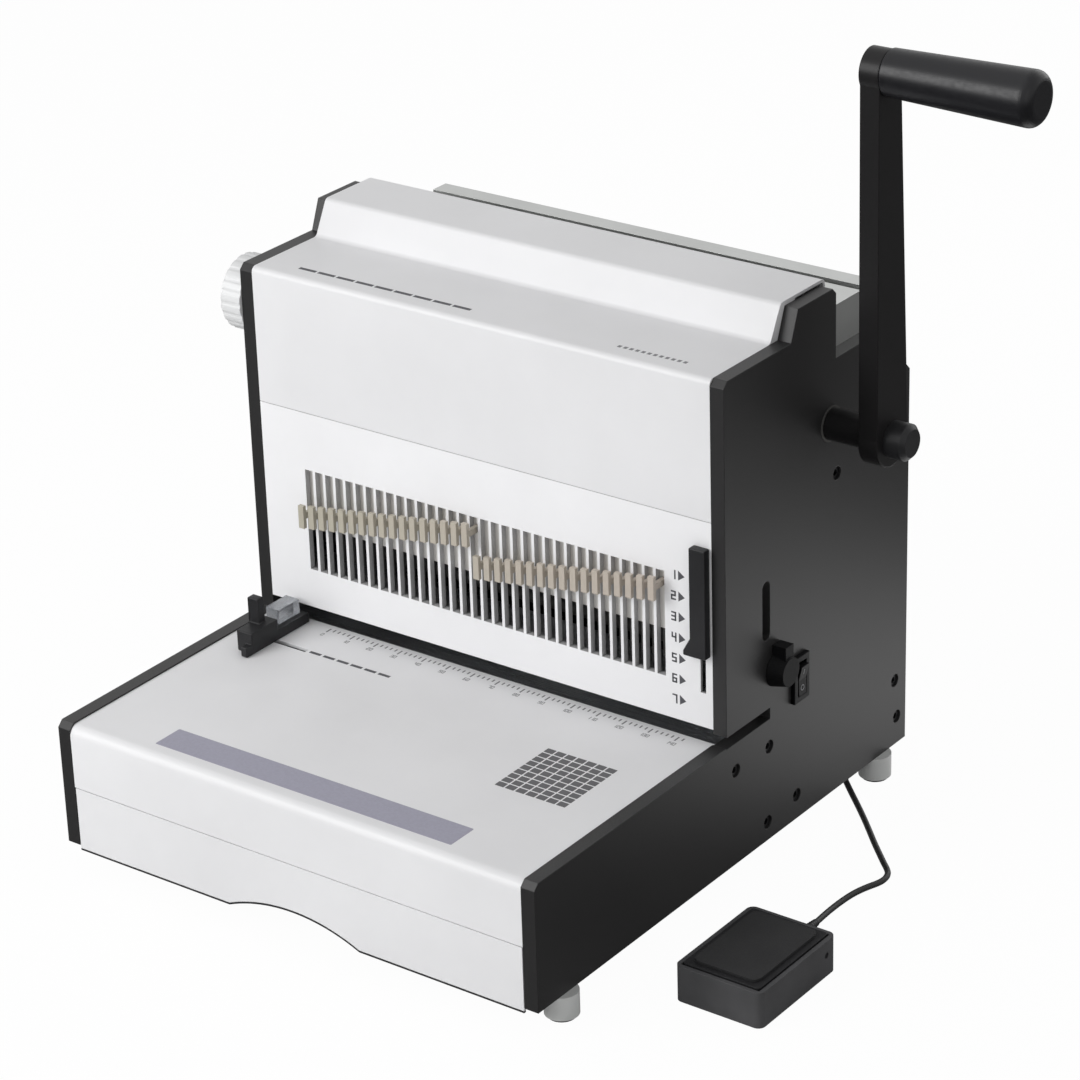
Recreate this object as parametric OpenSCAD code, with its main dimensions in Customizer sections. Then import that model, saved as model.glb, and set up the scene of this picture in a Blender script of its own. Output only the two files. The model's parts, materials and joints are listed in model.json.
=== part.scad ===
// Electric wire binding machine with a closing lever and a foot pedal.
// Millimetres. X runs across the machine, Y from its front to its back, Z up.
// The origin is on the table, in the middle of the four feet.
// Places along Y are given as a distance from the front of the base: from_front(d).

/* [Side plates] */
// Clear width between the side plates
inner_w = 356; // [340:1:400]
// Thickness of each side plate
plate_t = 10; // [8:0.5:14]
// Length of the base, front to back
base_depth = 416; // [410:1:440]
// Height of the side plates' lower edge above the table
ground_gap = 18; // [14:0.5:24]
// Height of the plates' upper edge at the base
base_h = 105; // [105:0.5:108]
// Distance from the base front to the tower front
tower_setback = 202; // [196:0.5:203]
// Depth of the ledge
ledge_depth = 66; // [56:0.5:72]
// Rise from the ledge to the top
step_rise = 23; // [16:0.5:30]
// Run of the slope from the ledge to the top
step_run = 12; // [6:0.5:16]
// Depth of the plates' raised tabs
tab_depth = 47; // [40:0.5:50]
// Distance of the tabs' lower end behind the cover's slope
tab_lag = 8; // [0:0.5:10]
// Depth of the tabs below the cover's top
tab_drop = 3; // [0:0.5:6]
// Depth of the plates' shoulder below the ledge
shoulder_drop = 27; // [20:0.5:40]
// Chamfer at the plates' upper rear corner
rear_chamfer = 38; // [10:0.5:50]
// Chamfer at the plates' front corners
corner_chamfer = 4; // [2:0.5:10]

/* [Covers] */
// Thickness of the sheet metal covers
sheet_t = 2; // [1.5:0.1:3]
// Radius of the base cover's front fold
fold_r = 7; // [4:0.5:12]
// Radius of the other folds
small_fold_r = 4; // [3.2:0.1:6]
// Depth of the base cover below the plates' upper edge
cover_drop = 1; // [0.5:0.1:2]
// Height of the joint between the base cover and the waste drawer
drawer_top_h = 60; // [50:0.5:64]
// Height of the drawer front's lower edge
drawer_low_h = 16; // [14:0.5:18]
// Width of the finger recess in the drawer front
recess_w = 104; // [80:1:140]
// Height of the finger recess
recess_h = 11; // [8:0.5:14]
// Height of the joint between the punch panel and the upper cover
seam_h = 256; // [250:0.5:262]
// Running gap around the drawer
drawer_gap = 0.6; // [0.3:0.1:1]

/* [Punch] */
// Number of punch pins
pin_count = 34; // [20:2:34]
// Distance between neighbouring pins
pin_pitch = 8.467; // [8:0.001:8.467]
// Diameter of a punch pin
pin_d = 4; // [3:0.1:4.4]
// Distance from the tower front to the row of pins
pin_setback = 30; // [29:0.5:31]
// Travel of the ram
stroke = 32; // [30:0.5:32]
// Height difference between neighbouring pins
stagger = 1.3; // [0.8:0.05:1.3]
// Height of the slots' upper end above the highest pull
slot_over = 9; // [6:0.5:14]
// Width of the slots in the punch panel
slot_w = 6.4; // [4.4:0.1:6.6]
// Height of the ram bar
ram_t = 44; // [42:0.5:48]
// Height of the die block
die_t = 26; // [20:0.5:30]
// Depth of the die block
die_depth = 58; // [48:0.5:60]
// Height of the paper throat between die and pin guide
throat_h = 8; // [6:0.5:8]
// Height of the pin guide
guide_t = 27; // [20:0.5:27]
// Depth of the open throat cut into the right plate
throat_cut = 49; // [40:0.5:52]
// Radial clearance of sliding and turning fits
fit_gap = 0.05; // [0.02:0.01:0.1]

/* [Drive] */
// Distance of the crankshaft behind the tower front
crank_setback = 34; // [33:0.5:36]
// Height of the crankshaft above the raised ram
crank_rise = 55; // [50:0.5:60]
// Depth of the crankshaft below the gap shaft
crank_drop = 49; // [46:0.5:50]
// Diameter of the crankshaft
crank_d = 18; // [14:0.5:18]
// Diameter of the crank pins
crank_pin_d = 14; // [10:0.5:14]
// Thickness of the ram yokes
yoke_t = 10; // [8:0.5:11]
// Teeth of each drive gear
gear_teeth = 24; // [20:1:24]
// Module of the drive gears
gear_module = 2; // [1.8:0.1:2]
// Width of the drive gears
gear_w = 8; // [6:0.5:9]
// Diameter of the motor
motor_d = 60; // [50:1:62]
// Length of the motor
motor_len = 150; // [110:1:160]

/* [Wire closer] */
// Distance of the lever shaft behind the tower front
closer_run = 120; // [118:0.5:122]
// Depth of the lever shaft below the guide rods
shaft_drop = 40.5; // [38:0.5:42]
// Diameter of the lever shaft
shaft_d = 16; // [12:0.5:16]
// Offset of the eccentrics on the lever shaft
closer_offset = 8.5; // [7:0.1:8.5]
// Diameter of the eccentrics on the lever shaft
closer_cam_d = 28; // [27:0.5:28]
// Depth of the fixed jaw
anvil_depth = 22; // [16:0.5:22]
// Width of the open gap between the jaws
wire_gap = 18; // [16:0.5:20]
// Depth of the moving jaw
jaw_depth = 14; // [10:0.5:16]
// Diameter of the guide rods
rod_d = 8; // [6:0.5:8]

/* [Lever] */
// Gap between the right plate and the lever arm
lever_standoff = 31; // [24:0.5:40]
// Thickness of the lever arm
lever_t = 13.5; // [8:0.5:14]
// Width of the lever arm at the hub
lever_low_w = 36.5; // [28:0.5:40]
// Width of the lever arm at the grip
lever_high_w = 24.5; // [16:0.5:26]
// Height of the grip's axis above the shaft
lever_reach = 238; // [200:1:260]
// Forward lean of the grip's axis from the shaft
lever_lean = 7; // [0:0.5:10]
// Diameter of the grip at its free end
grip_d = 34.5; // [30:0.5:38]
// Diameter of the grip at the lever arm
grip_neck_d = 29.5; // [26:0.5:30]
// Length of the grip
grip_len = 102; // [90:1:120]
// Thickness of the hub cap
hub_cap_t = 14.5; // [10:0.5:16]
// Diameter of the hub cap
hub_cap_d = 24; // [22:0.5:30]

/* [Knobs and slider] */
// Diameter of the closer gap knob on the left plate
gap_knob_d = 51; // [40:1:54]
// Thickness of the closer gap knob
gap_knob_t = 16; // [10:0.5:20]
// Depth of the gap shaft below the ledge
gap_drop = 29; // [27:0.5:31]
// Distance of the gap shaft behind the tower front
gap_run = 23; // [22:0.5:26]
// Diameter of the gap shaft
gap_shaft_d = 12; // [10:0.5:12]
// Diameter of the margin knob on the right plate
margin_knob_d = 24; // [20:1:30]
// Thickness of the margin knob
margin_knob_t = 11; // [9:0.5:18]
// Distance of the margin shaft behind the pins
margin_run = 26; // [25.5:0.5:28]
// Height of the margin shaft above the base cover
margin_rise = 33; // [31:0.5:34]
// Diameter of the margin shaft
margin_shaft_d = 8; // [6:0.5:8]
// Width of the size slider
slider_w = 12; // [10:0.5:12]
// Height of the size slider
slider_tall = 74; // [60:1:80]
// Depth of the size slider in front of the panel
slider_depth = 6; // [4:0.5:10]
// Height of the size slider above the base cover
slider_rise = 61; // [58:0.5:63]
// Distance of the slider's middle from the right plate
slider_inset = 7; // [6.6:0.1:9]

/* [Feet] */
// Diameter of a foot
foot_d = 22; // [18:0.5:26]
// Distance of the feet from the front and the back
foot_inset = 30; // [25:0.5:50]

/* [Edge guide] */
// Distance of the edge guide's fence from the left plate
fence_inset = 33; // [28:0.5:35]
// Travel of the edge guide towards the middle
guide_travel = 30; // [10:1:40]

/* [Foot pedal] */
// Width of the foot pedal
pedal_w = 62; // [56:0.5:80]
// Length of the foot pedal
pedal_len = 84; // [80:0.5:110]
// Height of the pedal's case
pedal_case_h = 26; // [24:0.5:30]
// Height of the treadle above the case
treadle_rise = 3; // [2.5:0.5:6]
// Distance from the machine's middle to the pedal's middle
pedal_x = 262; // [255:1:320]
// Distance of the pedal's front from the base front
pedal_setback = 79; // [60:1:100]
// Wall of the pedal's case
pedal_wall = 3; // [2:0.5:4]
// Diameter of the pedal's cord
cord_d = 4; // [3.5:0.5:6]

/* [Hidden] */
$fn = 64;
free_gap = 0.3;

function from_front(d) = d - base_depth / 2;
function pin_x(i) = (i - (pin_count - 1) / 2) * pin_pitch;
function pin_step(i) = stagger * (i % (pin_count / 2));

inner_x = inner_w / 2;
outer_x = inner_x + plate_t;
ledge_end = tower_setback + ledge_depth;
top_start = ledge_end + step_run;
tab_end = top_start + tab_depth;
cover_over = 3;
cover_end = tab_end + cover_over;
cover_top_h = base_h - cover_drop;
panel_back = tower_setback + sheet_t;
panel_rise = 11;
panel_low_h = cover_top_h + panel_rise;
backing_t = 2.3;
backing_rim = 3;

// Punch
pin_line = tower_setback + pin_setback;
die_inset = 0.4;
die_top_h = cover_top_h - die_inset;
die_low_h = die_top_h - die_t;
guide_low_h = cover_top_h + throat_h;
guide_high_h = guide_low_h + guide_t;
guide_play = 4;
guide_rim = 3;
guide_front = panel_back + guide_play;
guide_back = pin_line + pin_d / 2 + guide_rim;
tip_inset = 1;
first_tip_h = guide_low_h + tip_inset;
ram_over = 2;
ram_low_h = guide_high_h + stroke + ram_over;
ram_high_h = ram_low_h + ram_t;
ram_play = 0.5;
ram_behind = 13.8;
ram_front = panel_back + backing_t + ram_play;
ram_back = pin_line + ram_behind;
ram_end_gap = 1;
ram_pin_d = 8;
ram_pin_rise = 24;
ram_pin_behind = 1.2;
ram_pin_inset = 5;
ram_pin_h = ram_low_h + ram_pin_rise;
ram_pin_setback = ram_back + ram_pin_behind;
ram_lug_w = 17;
ram_lug_back = 6;
first_pull_rise = 12.5;
first_pull_h = ram_low_h + first_pull_rise;
pull_stem_w = 3;
pull_stem_h = 4;
pull_tab_w = 4.4;
pull_tab_h = 16;
pull_tab_depth = 2.8;
pull_tab_gap = 7.7;
pull_stem_root = 2;
pull_tab_front = tower_setback - pull_tab_depth - pull_tab_gap;
pull_end_gap = 0.1;
pull_end = pin_line - pin_d / 2 - pull_end_gap;
slot_under = 10.5;
slot_low_h = first_pull_h - stroke - slot_under;
slot_high_h = first_pull_h + pin_step(pin_count / 2 - 1) + slot_over;

// Shafts and ledge of the tower, from the ram upwards
crank_line = tower_setback + crank_setback;
crank_h = ram_high_h + crank_rise;
gap_line = tower_setback + gap_run;
gap_h = crank_h + crank_drop;
ledge_h = gap_h + gap_drop;
top_h = ledge_h + step_rise;
shoulder_h = ledge_h - shoulder_drop;
shaft_line = tower_setback + closer_run;
shaft_h = gap_h - shaft_drop;
margin_line = pin_line + margin_run;
margin_h = cover_top_h + margin_rise;

// Drive
crank_throw = stroke / 2;
throw_inset = 68;
throw_x = inner_x - throw_inset;
web_t = 7;
web_gap = 1;
web_rim = 2;
bearing_wall = 4;
bearing_floor = 2;
bearing_d = crank_d + 2 * bearing_wall;
bearing_t = plate_t - bearing_floor;
yoke_slack = 3.6;
yoke_rim = 8;
yoke_end = 5;
yoke_half = crank_throw + crank_pin_d / 2 + yoke_end;
yoke_slot_end = 0.6;
yoke_stem_w = 24;
gear_pitch_r = gear_module * gear_teeth / 2;
gear_tilt = -40;
gear_inset = 28;
gear_x = gear_inset - inner_x;
gear_backlash = 1;
pinion_line = crank_line + 2 * gear_pitch_r * cos(gear_tilt);
pinion_h = crank_h + 2 * gear_pitch_r * sin(gear_tilt);
pinion_shaft_d = 12;
pinion_shaft_in = 18;
gearbox_w = 56;
gearbox_gap = 2;
yoke_clear = 1.5;
gearbox_x = gear_x + gear_w + gearbox_gap;
gearbox_front = max(pinion_line - pinion_shaft_d / 2 - 1, crank_line + yoke_half + yoke_clear);
gearbox_depth = 46;
gearbox_t = 68;
shelf_drop = 51;
shelf_top_h = pinion_h - shelf_drop;
shelf_t = 5;
shelf_depth = 68;
motor_forward = 6;
motor_lift = 2;
motor_line = gearbox_front + motor_d / 2 - motor_forward;
motor_h = shelf_top_h + motor_d / 2 + motor_lift;
motor_flange_t = 6;
motor_cap_t = 10;
tie_d = 16;
tie_clear = 1.2;
tie_line = motor_line + motor_d / 2 + tie_d / 2 + tie_clear;

// Wire closer
closer_side = closer_offset * sin(45);
jaw_travel = 2 * closer_side;
cam_line = shaft_line + closer_side;
cam_h = shaft_h + closer_side;
cam_slack = 0.45;
cam_slot_half = max(closer_cam_d / 2, closer_side + shaft_d / 2) + cam_slack;
arm_t = 8;
arm_inset = 18;
arm_x = inner_x - arm_inset;
arm_rim = 6;
arm_back = cam_line + cam_slot_half + arm_rim;
arm_under = 2.5;
arm_slot_end = 0.6;
arm_low_h = shaft_h - closer_cam_d / 2 - arm_under;
arm_slot_low_h = shaft_h - shaft_d / 2 - arm_slot_end;
arm_slot_high_h = shaft_h + closer_offset + closer_cam_d / 2 + arm_slot_end;
arm_high_h = arm_slot_high_h + arm_rim;
rod_h = gap_h;
rod_inset = 23;
rod_x_place = inner_x - rod_inset;
arm_clear = 1.5;
anvil_setback = arm_back + arm_clear;
anvil_back = anvil_setback + anvil_depth;
anvil_under = 16;
anvil_over = 30;
anvil_low_h = rod_h - anvil_under;
anvil_high_h = rod_h + anvil_over;
cheek_t = 6;
cheek_gap = 1;
neck_clear = 7;
arm_neck_high_h = anvil_low_h - neck_clear;
jaw_front = anvil_back + wire_gap;
jaw_back = jaw_front + jaw_depth;
jaw_under = 51;
jaw_over = 25;
jaw_end_gap = 3;
jaw_low_h = rod_h - jaw_under;
jaw_high_h = rod_h + jaw_over;
jaw_half_w = inner_x - jaw_end_gap;
bush_wall = 4;
bush_d = shaft_d + 2 * bush_wall;
bush_collar_t = 0.3;
tie_drop = 36.5;
tie_h = shaft_h - tie_drop;

// Closer gap stop
gap_cam_d = 28;
gap_cam_offset = 5;
gap_cam_w = 9;
rod_tip_gap = 0.4;
rod_tip = gap_line + gap_cam_d / 2 + gap_cam_offset + jaw_travel + rod_tip_gap;
knob_skin = 3;
flute_count = 20;
flute_d = 7;
flute_depth = 0.6;

// Margin stop
margin_cam_d = 13;
margin_cam_offset = 2.5;
margin_cam_slack = 0.25;
margin_arm_w = 8;
margin_arm_inset = 28;
margin_arm_x = inner_x - margin_arm_inset;
margin_arm_rim = 2.6;
margin_arm_half = margin_cam_d / 2 + margin_cam_slack + margin_arm_rim;
stop_end_gap = 8;
stop_setback = 6;
stop_bar_half_w = inner_x - stop_end_gap;
stop_front = pin_line + stop_setback;
stop_low_h = die_top_h + free_gap;
stop_t = 6;
margin_knob_taper = 5;
pointer_w = 9;
pointer_over = 6;
pointer_drop = 1;

// Lever
arm_inner_x = outer_x + lever_standoff;
arm_outer_x = arm_inner_x + lever_t;
grip_line = shaft_line - lever_lean;
grip_h = shaft_h + lever_reach;
arm_end_d = grip_neck_d - 1.5;
grip_round = 7;
grip_edge = 1;
grip_stud_d = 12;
grip_stud_len = 40;
collar_wall = 2.5;
collar_d = shaft_d + 2 * collar_wall;
shaft_end = 4;

// Size slider
slider_x = inner_x - slider_inset;
slider_left = slider_x - slider_w / 2;
slider_right = slider_x + slider_w / 2;
slider_low_h = cover_top_h + slider_rise;
slider_stem_w = 3.4;
slider_stem_h = 8;
slider_up = 50;
slider_down = 28;
slider_slot_w = slider_stem_w + 2 * free_gap;
slider_stem_rise = 2;
slider_stem_low_h = slider_low_h + slider_stem_rise;
slider_slot_low_h = slider_stem_low_h - slider_down - free_gap;
slider_slot_high_h = slider_stem_low_h + slider_stem_h + slider_up + free_gap;
slider_toe = 5;
slider_toe_h = 3;
slider_toe_top = 12;
keeper_t = 1.4;

// Waste drawer
pan_rise = 2;
pan_low_h = ground_gap + pan_rise;
pan_top_h = pan_low_h + sheet_t;
pan_front = 26;
runner_w = 8;
runner_h = 20;
runner_run = 60;
runner_end = pin_line + runner_run;
tray_half_w = inner_x - runner_w - drawer_gap;
tray_run = 30;
tray_back = pin_line + tray_run;
tray_wall = 1.5;
tray_low_h = pan_top_h + free_gap;
tray_drop = 3;
tray_high_h = drawer_top_h - tray_drop;
recess_r = (recess_w * recess_w / 4 + recess_h * recess_h) / (2 * recess_h);

// Rocker switch on the right plate
switch_run = 82;
switch_rise = 14.5;
switch_line = tower_setback + switch_run;
switch_h = base_h + switch_rise;
switch_w = 14;
switch_tall = 28;
switch_flange = 2;
switch_flange_t = 3;
switch_wall = 2.4;
switch_back = 18;
rocker_depth = 4;
rocker_pivot_x = outer_x - rocker_depth;
rocker_tilt = 6;
rocker_gap = 0.4;
rocker_pin_d = 3;

// Edge guide on the base cover
fence_x = inner_x - fence_inset;
guide_block_run = 65;
guide_block_front = tower_setback - guide_block_run;
guide_block_len = 31;
guide_block_w = 13;
guide_block_h = 15;
guide_fence_w = 5;
guide_fence_h = 7;
guide_slot_run = 36.5;
guide_slot_line = tower_setback - guide_slot_run;
guide_slot_slack = 0.5;
guide_stem_w = 4.4;
guide_stem_len = 3;
guide_nut = 12;
guide_nut_t = 3;
guide_fin_h = 33;
guide_fin_setback = 18;
guide_fin_w = 9;
guide_fin_len = 6;

// Power inlet in the rear cover
inlet_x = -105;
inlet_h = 70;
inlet_w = 28;
inlet_tall = 22;
inlet_deep = 18;
inlet_wall = 2;

// Vents in the rear cover
vent_x = 90;
vent_w = 66;
vent_tall = 4;
vent_pitch = 10;
vent_count = 6;
vent_rise = 138;
vent_low_h = pan_top_h + vent_rise;

// Foot pedal
pedal_low_h = 1.5;
pedal_pad_inset = 4;
treadle_gap = 0.7;
treadle_t = 4;
treadle_skirt = 6;
mat_t = 2;
mat_inset = 4;
pedal_round = 5;
treadle_round = 2;
mat_round = 5;
treadle_high_h = pedal_case_h + treadle_rise;
pedal_pin_d = 4;
pedal_pin_inset = 11;
pedal_pin_setback = pedal_setback + pedal_len - pedal_pin_inset;
pedal_pin_h = 16;
pedal_lug_w = 6;
pedal_spring_run = 24;
pedal_spring_line = pedal_setback + pedal_spring_run;
pedal_gland_d = 10;
pedal_gland_len = 8;
spring_d = 11;
spring_wire_d = 1.4;
spring_turns = 5;

// Screws through the side plates, as distance from the front and height
die_screws = [[panel_back + 8, die_low_h + 7], [panel_back + die_depth - 12, die_low_h + 7]];
runner_screws = [[pin_line + 16, pan_top_h + 9], [pin_line + 50, pan_top_h + 13]];
rear_screws = [[base_depth - 14, pan_top_h + 44], [base_depth - 11, pan_top_h + 16]];
tie_screws = [[tie_line, tie_h]];
plate_screws_at = concat(die_screws, runner_screws, rear_screws, tie_screws);
screw_d = 5;
screw_len = 12;
screw_head_d = 9;
screw_head_t = 5;
screw_recess = 1.6;
socket_d = 4.6;
socket_t = 2.5;

// Control box inside the base
box_right = inner_x - 28;
box_w = 110;
box_depth = 64;
box_t = 34;
box_back = base_depth - 32;

// Gland under the base where the pedal's cord comes out
gland_d = 12;
gland_len = 18;
gland_nose = 4;
gland_turn = -41;
gland_h = 9;
gland_x = inner_x - 28;
gland_line = base_depth - 33;

// The pedal cord's route from the gland: to the right, to the front, and height
cord_route = [
    [0, 0, 9], [10, 8.7, 9], [22, 19.1, 7], [34, 29.7, 4.6], [46, 40.4, 2.9],
    [58, 52, 2.2], [70, 64.4, 2.1], [82, 77.1, 2.1], [94, 89.3, 2.1], [101, 96.3, 2.1],
    [106.6, 101.8, 2.1], [109.6, 105.7, 2.1], [111.3, 110.2, 2.1], [111.7, 115, 2.1],
    [110.8, 119.8, 2.1], [108.4, 126.4, 2.1], [106.2, 133.4, 2.1], [104.6, 141.5, 2.1],
    [103.7, 152, 2.1], [103.9, 164, 2.6], [105.6, 176, 4.2], [108.5, 188, 7], [111.1, 200, 9.9],
    [112, 212, 11]
];
pedal_back = pedal_setback + pedal_len;
cord_end = cord_route[len(cord_route) - 1];
cord_scale_x = (pedal_x - gland_x) / cord_end[0];
cord_scale_y = (gland_line - pedal_back - pedal_gland_len) / cord_end[1];
function cord_point(p) = [gland_x + p[0] * cord_scale_x, from_front(gland_line - p[1] * cord_scale_y), p[2]];

// Helpers

// A box between two corners, with its Y places measured from the front
module block(x0, x1, d0, d1, z0, z1) {
    translate([x0, from_front(d0), z0]) cube([x1 - x0, d1 - d0, z1 - z0]);
}

// A box with rounded upright corners
module round_block(x0, x1, d0, d1, z0, z1, r) {
    block(x0 + r, x1 - r, d0, d1, z0, z1);
    block(x0, x1, d0 + r, d1 - r, z0, z1);
    for (x = [x0 + r, x1 - r], d = [d0 + r, d1 - r])
        translate([x, from_front(d), z0]) cylinder(h = z1 - z0, r = r);
}

// A round bar along X
module bar_x(x0, x1, d, z, dia) {
    translate([x0, from_front(d), z]) rotate([0, 90, 0]) cylinder(h = x1 - x0, d = dia);
}

// A round bar along Y
module bar_y(x, d0, d1, z, dia) {
    translate([x, from_front(d0), z]) rotate([-90, 0, 0]) cylinder(h = d1 - d0, d = dia);
}

// A slab along X from a side view drawn as distance from the front and height
module side_slab(x0, x1) {
    translate([x0, from_front(0), 0]) rotate([90, 0, 90]) linear_extrude(height = x1 - x0) children();
}

// The children on the right side and mirrored on the left
module both_sides() {
    children();
    mirror([1, 0, 0]) children();
}

function unit(v) = v / norm(v);
function left_of(v) = [-v[1], v[0]];
function turn_of(a, b, c) = sign(cross(b - a, c - b));
function mitre(a, b, c, t) =
    let (n = left_of(unit(b - a)), m = left_of(unit(c - b))) b + t * (n + m) / (1 + n * m);
function shifted(p, t) = [
    for (i = [0 : len(p) - 1])
        i == 0 ? p[0] + t * left_of(unit(p[1] - p[0]))
        : i == len(p) - 1 ? p[i] + t * left_of(unit(p[i] - p[i - 1]))
        : mitre(p[i - 1], p[i], p[i + 1], t)
];
fold_steps = 8;
function fold_arc(a, b, c, r) =
    let (
        u = unit(a - b), v = unit(c - b), half = acos(u * v) / 2,
        centre = b + unit(u + v) * r / sin(half),
        p = b + u * r / tan(half) - centre, q = b + v * r / tan(half) - centre,
        start = atan2(p[1], p[0]), sweep = (atan2(q[1], q[0]) - start + 540) % 360 - 180
    )
    [for (k = [0 : fold_steps]) let (w = start + sweep * k / fold_steps) centre + r * [cos(w), sin(w)]];
function folded(p, r, grow) = [
    for (i = [0 : len(p) - 1])
        each (i == 0 || i == len(p) - 1) ? [p[i]]
            : fold_arc(p[i - 1], p[i], p[i + 1], r[i] + grow * turn_of(p[i - 1], p[i], p[i + 1]))
];
function backwards(p) = [for (i = [len(p) - 1 : -1 : 0]) p[i]];

// A folded sheet's side view: the outer path, a radius at each fold, the thickness to its right
module sheet_outline(path, radii, t) {
    polygon(concat(folded(path, radii, 0), backwards(folded(shifted(path, -t), radii, t))));
}

// A tube swept along points: rings square to the run, joined by triangles
function run_at(p, i) = unit(p[min(i + 1, len(p) - 1)] - p[max(i - 1, 0)]);
function ring_at(p, i, r, sides) =
    let (t = run_at(p, i), side = unit(cross(t, [0, 0, 1])), up = cross(side, t))
    [for (k = [0 : sides - 1]) p[i] + r * (side * cos(360 * k / sides) + up * sin(360 * k / sides))];
module tube_along(p, dia, sides) {
    rings = [for (i = [0 : len(p) - 1]) each ring_at(p, i, dia / 2, sides)];
    last = (len(p) - 1) * sides;
    walls = [
        for (i = [0 : len(p) - 2], k = [0 : sides - 1])
            let (a = i * sides + k, b = i * sides + (k + 1) % sides)
            each [[a, a + sides, b], [b, a + sides, b + sides]]
    ];
    caps = [
        for (k = [1 : sides - 2]) each [[0, k, k + 1], [last, last + k + 1, last + k]]
    ];
    polyhedron(points = rings, faces = concat(walls, caps), convexity = 6);
}

// A spur gear with straight flanks, one tooth pointing along the first axis
module gear_outline(teeth, size, backlash) {
    pitch_r = size * teeth / 2;
    tip_r = pitch_r + 0.9 * size;
    root_r = pitch_r - 1.2 * size;
    half = (PI * size - backlash) / 4;
    tip_a = (half - 0.9 * size * tan(20)) / tip_r * 180 / PI;
    root_a = (half + 1.2 * size * tan(20)) / root_r * 180 / PI;
    polygon([
        for (i = [0 : teeth - 1])
            each [for (s = [[root_r, -root_a], [tip_r, -tip_a], [tip_r, tip_a], [root_r, root_a]])
                let (a = i * 360 / teeth + s[1]) s[0] * [cos(a), sin(a)]]
    ]);
}

// A gear on a shaft along X
module gear_x_at(d, z, turn, bore) {
    translate([gear_x, from_front(d), z]) rotate([90, 0, 90]) difference() {
        linear_extrude(height = gear_w) rotate(turn) gear_outline(gear_teeth, gear_module, gear_backlash);
        translate([0, 0, -1]) cylinder(h = gear_w + 2, d = bore);
    }
}

// Frame

module plate_outline() {
    c = corner_chamfer;
    tab_h = top_h - tab_drop;
    polygon([
        [0, ground_gap], [0, base_h - c], [c, base_h], [tower_setback, base_h],
        [tower_setback, ledge_h - c], [tower_setback + c, ledge_h], [ledge_end + tab_lag, ledge_h],
        [top_start + tab_lag / 2, tab_h], [tab_end - c, tab_h], [tab_end, tab_h - c], [tab_end, shoulder_h],
        [base_depth - rear_chamfer, shoulder_h], [base_depth, shoulder_h - rear_chamfer],
        [base_depth, ground_gap]
    ]);
}

module foot_places() {
    for (d = [foot_inset, base_depth - foot_inset])
        translate([inner_x + plate_t / 2, from_front(d), 0]) children();
}

// Everything that both plates are drilled for, on the right side
module plate_cuts() {
    x0 = inner_x - 1;
    x1 = outer_x + 1;
    bar_x(x0, x1, shaft_line, shaft_h, bush_d + 2 * fit_gap);
    bar_x(x0, inner_x + bearing_t, crank_line, crank_h, bearing_d + 2 * fit_gap);
    bar_x(x0, x1, margin_line, margin_h, margin_shaft_d + 2 * fit_gap);
    for (z = [ram_pin_h - stroke, ram_pin_h])
        bar_x(x0, x1, ram_pin_setback, z, ram_pin_d + 2 * free_gap);
    block(x0, x1, ram_pin_setback - ram_pin_d / 2 - free_gap, ram_pin_setback + ram_pin_d / 2 + free_gap,
        ram_pin_h - stroke, ram_pin_h);
    for (s = plate_screws_at) {
        bar_x(x0, x1, s[0], s[1], screw_d + 2 * fit_gap);
        bar_x(outer_x - screw_head_t, x1, s[0], s[1], screw_head_d + 2 * fit_gap);
    }
    foot_places() translate([0, 0, ground_gap - 1]) cylinder(h = 12, d = 6 + 2 * fit_gap);
}

module left_plate() {
    color([0.13, 0.13, 0.14]) difference() {
        mirror([1, 0, 0]) difference() {
            side_slab(inner_x, outer_x) plate_outline();
            plate_cuts();
        }
        bar_x(-outer_x - 1, -inner_x + 1, gap_line, gap_h, gap_shaft_d + 2 * fit_gap);
    }
}

module right_plate() {
    color([0.13, 0.13, 0.14]) difference() {
        side_slab(inner_x, outer_x) plate_outline();
        plate_cuts();
        bar_x(inner_x - 1, inner_x + plate_t / 2, gap_line, gap_h, gap_shaft_d + 2 * fit_gap);
        block(inner_x - 1, outer_x + 1, tower_setback - 1, tower_setback + throat_cut,
            cover_top_h, cover_top_h + throat_h);
        block(inner_x - 1, outer_x + 1, switch_line - switch_w / 2, switch_line + switch_w / 2,
            switch_h - switch_tall / 2, switch_h + switch_tall / 2);
    }
}

module base_pan() {
    color([0.55, 0.56, 0.57]) difference() {
        block(-inner_x, inner_x, pan_front, base_depth - 4, pan_low_h, pan_top_h);
        translate([gland_x - 6, from_front(gland_line) + 5, pan_low_h - 1])
            cylinder(h = sheet_t + 2, d = cord_d + 3);
    }
}

module base_cover() {
    path = [[0, drawer_top_h + drawer_gap / 2], [0, cover_top_h], [panel_back - 0.2, cover_top_h]];
    stem_x = -fence_x - guide_block_w / 2;
    stem_half = guide_stem_w / 2 + free_gap;
    slot_half = guide_stem_len / 2 + guide_slot_slack;
    color([0.87, 0.87, 0.88]) difference() {
        side_slab(-inner_x, inner_x) sheet_outline(path, [0, fold_r, 0], sheet_t);
        block(stem_x - stem_half, stem_x + stem_half + guide_travel,
            guide_slot_line - slot_half, guide_slot_line + slot_half,
            cover_top_h - sheet_t - 1, cover_top_h + 1);
    }
}

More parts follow.
